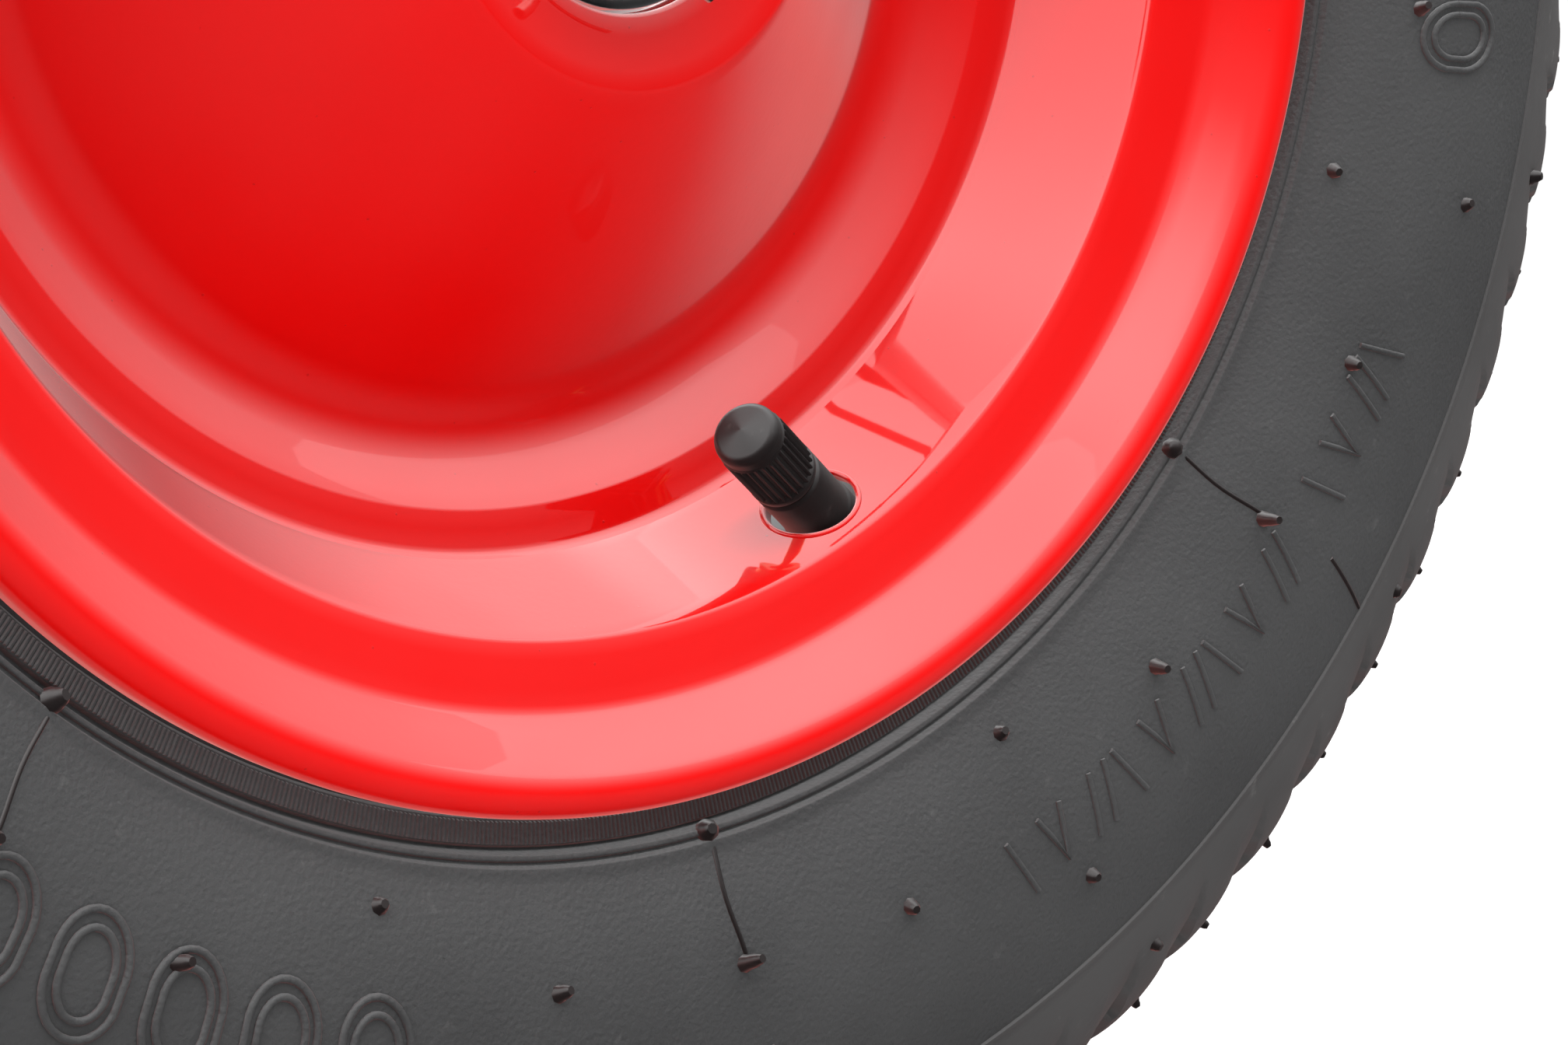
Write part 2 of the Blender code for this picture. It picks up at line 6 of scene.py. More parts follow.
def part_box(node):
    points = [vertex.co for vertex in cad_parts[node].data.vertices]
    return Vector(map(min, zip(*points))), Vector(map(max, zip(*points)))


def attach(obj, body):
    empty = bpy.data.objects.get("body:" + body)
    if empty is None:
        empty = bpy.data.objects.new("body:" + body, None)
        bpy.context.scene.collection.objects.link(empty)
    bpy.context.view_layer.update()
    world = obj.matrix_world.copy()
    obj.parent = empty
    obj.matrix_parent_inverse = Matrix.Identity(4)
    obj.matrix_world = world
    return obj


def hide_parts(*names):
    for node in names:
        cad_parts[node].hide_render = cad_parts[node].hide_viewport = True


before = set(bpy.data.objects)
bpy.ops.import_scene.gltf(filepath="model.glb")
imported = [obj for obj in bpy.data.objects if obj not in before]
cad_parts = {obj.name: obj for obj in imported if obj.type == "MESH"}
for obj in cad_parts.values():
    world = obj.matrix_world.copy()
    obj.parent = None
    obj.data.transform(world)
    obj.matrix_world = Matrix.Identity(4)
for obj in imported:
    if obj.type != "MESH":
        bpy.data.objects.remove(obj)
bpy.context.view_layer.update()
print("frame loaded:", len(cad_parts), "nodes")

# Sizes are in millimetres in this script and become metres when a mesh is finished.
# A wheel is drawn about its own centre with x outboard. Its outlines are (radius, depth) points,
# and depth 0 is the plane of the tyre's outboard bead ring, beadPlane away from the wheel's middle.
mm = 0.001
sides = {"right": 1, "left": -1}
beadPlane = 41.0


def nodeCorners(node):
    return [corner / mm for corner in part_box(node)]


def nodeMiddle(node):
    low, high = nodeCorners(node)
    return (low + high) / 2


wheelMiddle = nodeMiddle("tyre_right")
axleY, axleZ = wheelMiddle.y, wheelMiddle.z

# camera first: it stands low beside the right wheel and looks at its lower rear part
cameraView = {
    "fromBeadCentre": (302.3, -216.3, -43.2),
    "right": (0.6259, 0.7763, 0.0749),
    "up": (-0.1188, 0.0, 0.9929),
    "lens": 71.25,
    "sensor": 36.0,
}


def makeCamera():
    data = bpy.data.cameras.new("camera")
    data.lens = cameraView["lens"]
    data.sensor_width = cameraView["sensor"]
    data.sensor_fit = "HORIZONTAL"
    data.clip_start = 0.01
    data.clip_end = 50
    camera = bpy.data.objects.new("camera", data)
    bpy.context.scene.collection.objects.link(camera)
    right = Vector(cameraView["right"]).normalized()
    up = Vector(cameraView["up"])
    up = (up - right * up.dot(right)).normalized()
    back = right.cross(up)
    beadCentre = wheelMiddle + Vector((beadPlane, 0, 0))
    place = (beadCentre + Vector(cameraView["fromBeadCentre"])) * mm
    camera.matrix_world = Matrix.Translation(place) @ Matrix((right, up, back)).transposed().to_4x4()
    bpy.context.scene.camera = camera


makeCamera()
bpy.context.scene.view_settings.view_transform = "Standard"

# shader maths: a socket with the usual operators, and one call for every other node


class Wire:
    def __init__(self, tree, socket):
        self.tree, self.socket = tree, socket

    def maths(self, operation, *values):
        node = self.tree.nodes.new("ShaderNodeMath")
        node.operation = operation
        for slot, value in zip(node.inputs, values):
            if isinstance(value, Wire):
                self.tree.links.new(value.socket, slot)
            else:
                slot.default_value = value
        return Wire(self.tree, node.outputs[0])

    def __add__(self, other):
        return self.maths("ADD", self, other)

    def __radd__(self, other):
        return self.maths("ADD", other, self)

    def __sub__(self, other):
        return self.maths("SUBTRACT", self, other)

    def __rsub__(self, other):
        return self.maths("SUBTRACT", other, self)

    def __mul__(self, other):
        return self.maths("MULTIPLY", self, other)

    def __rmul__(self, other):
        return self.maths("MULTIPLY", other, self)

    def __gt__(self, other):
        return self.maths("GREATER_THAN", self, other)

    def __pow__(self, other):
        return self.maths("POWER", self, other)


class Paint:
    # a material being made, or the world
    def __init__(self, name, home=bpy.data.materials, shader="Principled BSDF", **values):
        self.owner = home.new(name)
        self.owner.use_nodes = True
        self.tree = self.owner.node_tree
        self.shader = self.tree.nodes[shader]
        for key, value in values.items():
            self.put(self.shader, key, value)

    def put(self, node, key, value):
        slot = node.inputs[key]
        if isinstance(value, Wire):
            self.tree.links.new(value.socket, slot)
        else:
            slot.default_value = value

    def node(self, kind, settings=None, inputs=None, out=0):
        made = self.tree.nodes.new(kind)
        for key, value in (settings or {}).items():
            setattr(made, key, value)
        for key, value in (inputs or {}).items():
            self.put(made, key, value)
        return Wire(self.tree, made.outputs[out])

    def coords(self, scale=(1, 1, 1)):
        place = self.node("ShaderNodeTexCoord", out=3)  # Object
        return self.node("ShaderNodeMapping", {}, {"Vector": place, "Scale": scale})

    def noise(self, scale, detail=2.0, rough=0.5, stretch=(1, 1, 1)):
        return self.node("ShaderNodeTexNoise", {}, {
            "Vector": self.coords(stretch), "Scale": scale, "Detail": detail, "Roughness": rough})

    def spots(self, scale, feature="F1"):
        return self.node("ShaderNodeTexVoronoi", {"feature": feature}, {
            "Vector": self.coords(), "Scale": scale})

    def steps(self, value, low, high, start=0.0, end=1.0):
        return self.node("ShaderNodeMapRange", {"interpolation_type": "SMOOTHSTEP"}, {
            "Value": value, "From Min": low, "From Max": high, "To Min": start, "To Max": end})

    def blend(self, factor, one, two):
        made = self.tree.nodes.new("ShaderNodeMix")
        made.data_type = "RGBA"
        self.put(made, 0, factor)
        self.put(made, 6, one)
        self.put(made, 7, two)
        return Wire(self.tree, made.outputs[2])

    def bump(self, height, distance, strength):
        return self.node("ShaderNodeBump", {}, {"Height": height, "Distance": distance, "Strength": strength})


def rgb(red, green, blue):
    return (red, green, blue, 1.0)


def makeRedEnamel():
    # thick gloss enamel over pressed steel: orange peel, a few specks in the film
    paint = Paint("redEnamel", **{
        "Coat Weight": 1.0, "Coat Roughness": 0.03, "Coat IOR": 1.5, "Specular IOR Level": 0.2})
    peel = paint.noise(900, 2.0, 0.5)
    swell = paint.noise(55, 1.0, 0.4)
    grain = paint.spots(420)
    fleck = paint.steps(grain, 0.05, 0.09, 1.0, 0.0) * (paint.noise(160, 0.0) > 0.66)
    deep = paint.steps(paint.noise(9, 3.0), 0.3, 0.7)
    base = paint.blend(deep, rgb(0.74, 0.0004, 0.0003), rgb(0.8, 0.0009, 0.0007))
    paint.put(paint.shader, "Base Color", paint.blend(fleck * 0.4, base, rgb(0.35, 0.0, 0.0)))
    paint.put(paint.shader, "Roughness", paint.steps(swell, 0.2, 0.8, 0.3, 0.38))
    height = peel * 0.25 + swell * 1.2 + fleck * 0.6
    paint.put(paint.shader, "Normal", paint.bump(height, 0.00012, 0.5))
    return paint.owner


def rubber(name, dark, light, roughness, grain, depth, dust):
    # moulded rubber: pebbled skin, a slow change of tone and a trace of mould dust
    paint = Paint(name, **{"Specular IOR Level": 0.4})
    pebble = paint.noise(grain, 3.0, 0.6)
    cells = paint.spots(grain * 0.9, feature="SMOOTH_F1")
    tone = paint.noise(14, 4.0, 0.6)
    base = paint.blend(paint.steps(tone, 0.3, 0.7), rgb(*dark), rgb(*light))
    powder = paint.steps(paint.noise(210, 4.0, 0.7), 0.62, 0.8) * dust
    paint.put(paint.shader, "Base Color", paint.blend(powder, base, rgb(0.3, 0.29, 0.28)))
    paint.put(paint.shader, "Roughness", paint.steps(tone, 0.2, 0.8, roughness - 0.05, roughness + 0.06))
    paint.put(paint.shader, "Normal", paint.bump(pebble * 0.7 + cells * 0.5, depth, 0.8))
    return paint.owner


def metal(name, dark, light, roughness, streak, grain):
    # plated or turned metal: fine streaks across the grain and uneven plating
    paint = Paint(name, **{"Metallic": 1.0})
    lines = paint.noise(1.0, 3.0, 0.6, streak)
    cloud = paint.noise(grain, 3.0, 0.55)
    paint.put(paint.shader, "Base Color", paint.blend(paint.steps(cloud, 0.3, 0.7), rgb(*dark), rgb(*light)))
    paint.put(paint.shader, "Roughness", paint.steps(lines, 0.2, 0.8, roughness * 0.8, roughness * 1.35))
    paint.put(paint.shader, "Normal", paint.bump(lines + cloud * 0.3, 0.00003, 0.5))
    return paint.owner


paints = {
    "red": makeRedEnamel(),
    "tyre": rubber("tyreRubber", (0.042, 0.042, 0.043), (0.058, 0.058, 0.059), 0.56, 1500, 0.00022, 0.1),
    "tread": rubber("treadRubber", (0.055, 0.053, 0.053), (0.075, 0.072, 0.072), 0.7, 700, 0.00008, 0.3),
    "valve": rubber("valveRubber", (0.011, 0.008, 0.008), (0.02, 0.014, 0.014), 0.36, 500, 0.00003, 0.1),
    "grip": rubber("gripRubber", (0.014, 0.014, 0.015), (0.026, 0.026, 0.027), 0.58, 620, 0.0001, 0.12),
    "zinc": metal("zincPlate", (0.52, 0.52, 0.5), (0.68, 0.67, 0.62), 0.3, (240, 1600, 1600), 120),
    "bearing": metal("bearingSteel", (0.6, 0.61, 0.63), (0.72, 0.73, 0.75), 0.2, (2400, 300, 300), 260),
    "brass": metal("turnedBrass", (0.62, 0.42, 0.16), (0.76, 0.55, 0.24), 0.28, (2600, 2600, 2600), 300),
}
print("materials made")

# mesh helpers


def meshOf(name, points, faces, paint, sharp=None):
    # a mesh object in millimetre points about the wheel or the truck's own origin
    mesh = bpy.data.meshes.new(name)
    mesh.from_pydata([tuple(p) for p in points], [], [tuple(f) for f in faces])
    mesh.materials.append(paints[paint])
    obj = bpy.data.objects.new(name, mesh)
    bpy.context.scene.collection.objects.link(obj)
    smooth(obj, sharp)
    return obj


def smooth(obj, sharp=None):
    obj.data.shade_smooth()
    if sharp:
        obj.data.set_sharp_from_angle(angle=math.radians(sharp))


def facesOut(obj, merge=0.0005):
    # merge doubles and turn a closed mesh's faces outwards
    bm = bmesh.new()
    bm.from_mesh(obj.data)
    bmesh.ops.remove_doubles(bm, verts=bm.verts, dist=merge)
    bmesh.ops.recalc_face_normals(bm, faces=bm.faces)
    bm.to_mesh(obj.data)
    bm.free()
    return obj


def smoothOut(obj, sharp):
    facesOut(obj)
    smooth(obj, sharp)
    return obj


def rounded(corners, step, longest):
    # a line through (a, b, fillet) corners, with arcs at the fillets and long runs divided
    points = []
    last = len(corners) - 1
    for i, (a, b, fillet) in enumerate(corners):
        here = Vector((a, b))
        if i in (0, last) or fillet <= 0:
            points.append(here)
            continue
        back = Vector(corners[i - 1][:2]) - here
        ahead = Vector(corners[i + 1][:2]) - here
        turn = math.pi - back.angle(ahead)
        # an arc takes nearly all of a leg, or nearly half of one with an arc at its other end
        legs = ((back, corners[i - 1]), (ahead, corners[i + 1]))
        room = [leg.length * (0.97 if far[2] <= 0 else 0.49) for leg, far in legs]
        reach = min(fillet * math.tan(turn / 2), *room)
        radius = reach / math.tan(turn / 2)
        start, end = here + back.normalized() * reach, here + ahead.normalized() * reach
        centre = here + (back.normalized() + ahead.normalized()).normalized() * math.hypot(radius, reach)
        count = max(2, math.ceil(radius * turn / step))
        spoke = start - centre
        sign = 1 if spoke.x * (end - centre).y - spoke.y * (end - centre).x > 0 else -1
        for k in range(count + 1):
            angle = sign * turn * k / count
            points.append(centre + Matrix.Rotation(angle, 2) @ spoke)
    line = [points[0]]
    for point in points[1:]:
        gap = (point - line[-1]).length
        if gap < 0.01:
            continue
        cuts = math.ceil(gap / longest)
        start = line[-1]
        line += [start.lerp(point, k / cuts) for k in range(1, cuts + 1)]
    return np.array([tuple(p) for p in line])


def offsetLine(line, distance):
    # the line moved to the right of its direction of travel
    run = np.gradient(line, axis=0)
    run /= np.linalg.norm(run, axis=1)[:, None]
    return line + np.stack([run[:, 1], -run[:, 0]], 1) * distance


def across(line):
    # a wheel outline seen across the wheel's middle plane, in reverse order
    return np.stack([line[::-1, 0], -2 * beadPlane - line[::-1, 1]], 1)


def gridFaces(rows, columns, rowsClosed, columnsClosed):
    faces = []
    for i in range(rows if rowsClosed else rows - 1):
        for j in range(columns if columnsClosed else columns - 1):
            a, b = i * columns + j, i * columns + (j + 1) % columns
            c, d = (i + 1) % rows * columns + (j + 1) % columns, (i + 1) % rows * columns + j
            faces.append((a, b, c, d))
    return faces


def turned(name, line, segments, paint, sharp=40, depthZero=beadPlane):
    # a ring turned about the x axis from the (radius, depth) points of its closed outline
    angles = np.linspace(0, 2 * math.pi, segments, endpoint=False)
    radius, depth = line[:, 0], line[:, 1] + depthZero
    points = np.stack([
        np.repeat(depth[:, None], segments, 1),
        radius[:, None] * np.cos(angles), radius[:, None] * np.sin(angles)], -1)
    faces = gridFaces(len(line), segments, True, True)
    return smoothOut(meshOf(name, points.reshape(-1, 3), faces, paint), sharp)


def spunSolid(name, corners, segments, paint, start, along, sharp=40):
    # a solid turned from (radius, distance, fillet) corners about a line; its ends lie on the line
    line = rounded(corners, 0.35, 4.0)
    turn = np.array(Vector(along).to_track_quat("X", "Z").to_matrix())
    angles = np.linspace(0, 2 * math.pi, segments, endpoint=False)
    points, rings = [], []
    for radius, distance in line:
        first = len(points)
        if radius < 1e-4:
            points.append((distance, 0, 0))
            rings.append([first] * segments)
        else:
            points += [(distance, radius * math.cos(a), radius * math.sin(a)) for a in angles]
            rings.append(list(range(first, first + segments)))
    faces = []
    for low, high in zip(rings, rings[1:]):
        for i in range(segments):
            j = (i + 1) % segments
            corner = [low[i], low[j], high[j], high[i]]
            faces.append(tuple(dict.fromkeys(corner)))
    points = np.array(points) @ turn.T + np.array(start)
    return smoothOut(meshOf(name, points, faces, paint), sharp)


def join(name, pieces):
    # one mesh from several, keeping their materials
    bm = bmesh.new()
    slots = []
    for piece in pieces:
        first = len(bm.faces)
        bm.from_mesh(piece.data)
        bm.faces.ensure_lookup_table()
        for material in piece.data.materials:
            if material not in slots:
                slots.append(material)
        names = [slots.index(m) for m in piece.data.materials]
        for face in bm.faces[first:]:
            face.material_index = names[face.material_index]
    mesh = bpy.data.meshes.new(name)
    for material in slots:
        mesh.materials.append(material)
    bm.to_mesh(mesh)
    bm.free()
    for piece in pieces:
        bpy.data.objects.remove(piece)
    obj = bpy.data.objects.new(name, mesh)
    bpy.context.scene.collection.objects.link(obj)
    return obj


# the parts of a wheel don't mirror each other, so that its dish shows the sky
unmirrored = ("rimRing", "disc", "tyre", "tread", "mouldPips", "innerTube", "hubTube", "bearing", "ballCage",
              "axle")


def settle(obj, name, side, centre, body, nodes=()):
    # a finished copy of a right-hand mesh on one side of the truck, in metres, riding on a body
    mesh = obj.data.copy()
    mesh.transform(Matrix.Diagonal((side, 1, 1, 1)))
    if side < 0:
        mesh.flip_normals()
    mesh.transform(Matrix.Scale(mm, 4) @ Matrix.Translation(centre))
    mesh.name = name
    piece = bpy.data.objects.new(name, mesh)
    bpy.context.scene.collection.objects.link(piece)
    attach(piece, body)
    if nodes:
        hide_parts(*nodes)
    piece.visible_glossy = not name.startswith(unmirrored)
    return piece


def bothSides(obj, name, body, nodes=(), centre=(0, 0, 0)):
    # both wheels' or both sides' copies of a piece; node and body names end in the side's name
    for label, side in sides.items():
        place = Vector((side * centre[0], centre[1], centre[2]))
        owner = body if body == "root" else f"{body}_{label}"
        settle(obj, f"{name}_{label}", side, place, owner, [f"{n}_{label}" for n in nodes])
    bpy.data.objects.remove(obj)


def onWheel(obj, name, nodes=(), body="wheel"):
    bothSides(obj, name, body, nodes, wheelMiddle)


def once(obj, name, nodes):
    settle(obj, name, 1, Vector((0, 0, 0)), "root", nodes)
    bpy.data.objects.remove(obj)


# geometry nodes: trees with named inputs, run once and turned into plain meshes


class Tree:
    def __init__(self, name, inputs):
        self.group = bpy.data.node_groups.new(name, "GeometryNodeTree")
        self.group.interface.new_socket("Geometry", in_out="INPUT", socket_type="NodeSocketGeometry")
        for label, kind in inputs.items():
            self.group.interface.new_socket(label, in_out="INPUT", socket_type=f"NodeSocket{kind}")
        self.group.interface.new_socket("Geometry", in_out="OUTPUT", socket_type="NodeSocketGeometry")
        self.entry = self.group.nodes.new("NodeGroupInput")

    def node(self, kind, settings=None, inputs=None, out=0):
        made = self.group.nodes.new(kind)
        for key, value in (settings or {}).items():
            setattr(made, key, value)
        for key, value in (inputs or {}).items():
            if isinstance(value, bpy.types.NodeSocket):
                self.group.links.new(value, made.inputs[key])
            else:
                made.inputs[key].default_value = value
        return made.outputs[out]

    def maths(self, operation, one, two):
        return self.node("ShaderNodeMath", {"operation": operation}, {0: one, 1: two})

    def finish(self, geometry):
        # every tree ends in real geometry with its material set
        real = self.node("GeometryNodeRealizeInstances", {}, {0: geometry})
        material = self.entry.outputs["Material"]
        painted = self.node("GeometryNodeSetMaterial", {}, {0: real, "Material": material})
        result = self.group.nodes.new("NodeGroupOutput")
        self.group.links.new(painted, result.inputs[0])
        return self.group


def runTree(tree, obj, name, paint, values, sharp=None):
    # the plain mesh that a tree makes of an object; the object is used up
    modifier = obj.modifiers.new(tree.name, "NODES")
    modifier.node_group = tree
    values = dict(values, Material=paints[paint])
    for item in tree.interface.items_tree:
        if item.in_out == "INPUT" and item.name in values:
            modifier[item.identifier] = values[item.name]
    bpy.context.view_layer.update()
    shown = obj.evaluated_get(bpy.context.evaluated_depsgraph_get())
    mesh = bpy.data.meshes.new_from_object(shown)
    obj.modifiers.remove(modifier)
    bpy.data.objects.remove(obj)
    made = bpy.data.objects.new(name, mesh)
    bpy.context.scene.collection.objects.link(made)
    smooth(made, sharp)
    return made


def makeRingTree():
    # copies of a piece turned about the x axis, each with its own length, lean and twist
    tree = Tree("ringOfCopies", {
        "Count": "Int", "First": "Float", "Shortest": "Float", "Longest": "Float", "Lean": "Float",
        "Tilt": "Float", "Foot": "Vector", "Seed": "Int", "Weld": "Float", "Material": "Material"})
    entry = tree.entry.outputs
    points = tree.node("GeometryNodePoints", {}, {"Count": entry["Count"]})
    index = tree.node("GeometryNodeInputIndex")
    turn = tree.maths("MULTIPLY", tree.maths("DIVIDE", index, entry["Count"]), 2 * math.pi)
    turn = tree.maths("ADD", turn, entry["First"])
    around = tree.node("ShaderNodeCombineXYZ", {}, {0: turn})
    length = tree.node("FunctionNodeRandomValue", {"data_type": "FLOAT"}, {
        2: entry["Shortest"], 3: entry["Longest"], "Seed": entry["Seed"]}, out=1)
    lean = tree.node("FunctionNodeRandomValue", {"data_type": "FLOAT"}, {
        2: tree.maths("MULTIPLY", entry["Lean"], -1.0), 3: entry["Lean"],
        "Seed": tree.maths("ADD", entry["Seed"], 7.0)}, out=1)
    tilt = tree.node("ShaderNodeCombineXYZ", {}, {1: lean, 2: tree.maths("ADD", lean, entry["Tilt"])})
    stretch = tree.node("ShaderNodeCombineXYZ", {}, {0: length, 1: 1.0, 2: 1.0})
    own = tree.node("GeometryNodeInstanceOnPoints", {}, {
        0: points, "Instance": entry["Geometry"], "Rotation": tilt, "Scale": stretch})
    own = tree.node("GeometryNodeTranslateInstances", {}, {
        0: own, "Translation": entry["Foot"], "Local Space": False})
    whole = tree.node("GeometryNodeRotateInstances", {}, {
        0: own, "Rotation": around, "Pivot Point": (0.0, 0.0, 0.0), "Local Space": False})
    real = tree.node("GeometryNodeRealizeInstances", {}, {0: whole})
    merged = tree.node("GeometryNodeMergeByDistance", {}, {0: real, "Distance": entry["Weld"]})
    return tree.finish(merged)


def makePathTree():
    # a round thread along every edge path of a mesh
    tree = Tree("threadOnPath", {"Radius": "Float", "Sides": "Int", "Material": "Material"})
    entry = tree.entry.outputs
    path = tree.node("GeometryNodeMeshToCurve", {}, {0: entry["Geometry"]})
    ring = tree.node("GeometryNodeCurvePrimitiveCircle", {"mode": "RADIUS"}, {
        "Resolution": entry["Sides"], "Radius": entry["Radius"]})
    tube = tree.node("GeometryNodeCurveToMesh", {}, {0: path, 1: ring, "Fill Caps": True})
    return tree.finish(tube)


def makeWeldTree():
    # overlapping scales of weld metal along every edge path of a mesh
    tree = Tree("weldBead", {"Pitch": "Float", "Width": "Float", "Seed": "Int", "Material": "Material"})
    entry = tree.entry.outputs
    path = tree.node("GeometryNodeMeshToCurve", {}, {0: entry["Geometry"]})
    even = tree.node("GeometryNodeResampleCurve", {"mode": "LENGTH"}, {0: path, "Length": entry["Pitch"]})
    scale = tree.node("GeometryNodeMeshUVSphere", {}, {"Segments": 8, "Rings": 5, "Radius": 1.0})
    size = tree.node("FunctionNodeRandomValue", {"data_type": "FLOAT"}, {
        2: tree.maths("MULTIPLY", entry["Width"], 0.9), 3: tree.maths("MULTIPLY", entry["Width"], 1.12),
        "Seed": entry["Seed"]}, out=1)
    beads = tree.node("GeometryNodeInstanceOnPoints", {}, {0: even, "Instance": scale, "Scale": size})
    return tree.finish(beads)


ringTree, pathTree, weldTree = makeRingTree(), makePathTree(), makeWeldTree()


def ringOf(obj, name, paint, count, first=0.0, lengths=(1.0, 1.0), lean=0.0, tilt=0.0, foot=(0, 0, 0),
           seed=0, weld=0.0, sharp=None):
    return runTree(ringTree, obj, name, paint, {
        "Count": count, "First": math.radians(first), "Shortest": lengths[0], "Longest": lengths[1],
        "Lean": lean, "Tilt": tilt, "Foot": foot, "Seed": seed, "Weld": weld}, sharp)


def edgesOf(name, paths, closed=False):
    # a mesh of edge paths only
    points, edges = [], []
    for path in paths:
        first = len(points)
        points += [tuple(p) for p in path]
        edges += [(first + i, first + i + 1) for i in range(len(path) - 1)]
        if closed:
            edges.append((first + len(path) - 1, first))
    mesh = bpy.data.meshes.new(name)
    mesh.from_pydata(points, edges, [])
    obj = bpy.data.objects.new(name, mesh)
    bpy.context.scene.collection.objects.link(obj)
    return obj


def threads(name, paths, radius, paint, sides=6, closed=False):
    return runTree(pathTree, edgesOf(name, paths, closed), name, paint, {"Radius": radius, "Sides": sides})


def welds(name, paths, width, pitch, seed, closed=False):
    return runTree(weldTree, edgesOf(name, paths, closed), name, "red",
                   {"Width": width, "Pitch": pitch, "Seed": seed})


# tyre
tyreShape = {
    "crossCentre": 147.0,       # the sidewall is a quarter of an ellipse about this radius
    "crossReach": 52.0,
    "crossDepth": 50.0,
    "shoulder": 163.3,          # moulding line between sidewall and tread rubber
    "wall": 5.5,
    "ribs": 1180,
    "pitches": 70,
    "phase": 325.0,
}


def flank(angle, lift=0.0):
    # radius and depth of the tyre's surface; angle 0 is the widest part and 90 degrees the crown
    radius = tyreShape["crossCentre"] + (tyreShape["crossReach"] + lift) * np.sin(angle)
    depth = -beadPlane + (tyreShape["crossDepth"] + lift) * np.cos(angle)
    return radius, depth


def flankAngle(radius):
    return np.arcsin((radius - tyreShape["crossCentre"]) / tyreShape["crossReach"])


def onWall(radius, degrees, lift=0.0):
    # a point on the outboard sidewall
    r, depth = flank(flankAngle(radius), lift)
    turn = math.radians(degrees)
    return (depth + beadPlane, r * math.cos(turn), r * math.sin(turn))


def makeCasing():
    tuck = flankAngle(tyreShape["shoulder"])
    bead = rounded([
        (106.4, -1.9, 0), (108.2, -0.9, 0.8), (115.2, -0.9, 0), (115.45, -0.15, 0.2), (118.5, 0.45, 0.3),
        (118.9, -0.5, 0.2), (119.35, -0.5, 0.2), (119.55, 1.55, 0.25), (120.15, 1.95, 0.25),
        (120.35, 1.35, 0.15), (120.75, 1.45, 0.15), (120.95, 2.6, 0.25), (121.6, 2.85, 0.3)], 0.12, 1.5)
    wall = np.stack(flank(np.linspace(flankAngle(122.2), tuck, 56)), 1)
    step = flank(tuck + 0.004, -0.9)
    under = np.stack(flank(np.linspace(tuck + 0.05, math.pi / 2, 18), -3.2), 1)
    half = np.concatenate([bead, wall, [step], under])
    outside = np.concatenate([half, across(half[:-1])])
    inner = np.stack(flank(np.linspace(flankAngle(121.5), math.pi / 2, 26), -tyreShape["wall"]), 1)
    foot = rounded([(110, -5.2, 0), (103.5, -6.5, 1.5), (97.4, -8.4, 2.0), (98.6, -13.5, 2), (113, -11.5, 4),
                    tuple(inner[0]) + (0,)], 1.5, 6.0)
    inside = np.concatenate([foot, inner[1:]])
    inside = np.concatenate([inside, across(inside[:-1])])
    return turned("casing", np.concatenate([outside, inside[::-1]]), 360, "tyre", sharp=32)


def treadHeight(angle, turn):
    # how far the tread stands off the plain outline, over one pitch (turn from 0 to 1)
    start, full, zigzag, middle = (math.radians(a) for a in (26.0, 60.0, 74.0, 90.0))
    side = np.clip((angle - start) / (full - start), 0, None)
    lug = np.clip(side, 0, 1) ** 1.2
    lean = 0.2 * side + 0.05 * np.sin(side * math.pi * 1.5)
    wide = 0.44 - 0.1 * np.clip(side, 0, 1)
    place = np.mod(turn + lean, 1.0)
    inCut = place < wide
    ramp = place / wide
    deep = 1.6 * np.clip(side * 1.7, 0, 1) + np.clip(side - 0.85, 0, 1) * 3.0
    cut = np.where(inCut, deep * (0.12 + 0.88 * ramp), 0)
    pillow = np.clip(side, 0, 1) * 0.7 * (1 - np.abs(2 * (place - wide) / (1 - wide) - 1) ** 2.6)
    shoulder = lug - cut + np.where(inCut, 0, pillow) - 0.3 * np.clip(side, 0, 1)
    wave = zigzag + math.radians(2.6) * (2 * np.abs(2 * np.mod(turn + 0.3, 1) - 1) - 1)
    trench = np.abs(angle - wave) < math.radians(1.9)
    centre = angle > wave
    notch = np.abs(np.mod(turn + 0.16 + 0.4 * (angle - middle), 1) - 0.5) < 0.06
    notch = notch & (angle < math.radians(84))
    rib = 1.0 - np.where(notch, 2.2, 0)
    return np.where(trench, -2.6, np.where(centre, rib, shoulder))


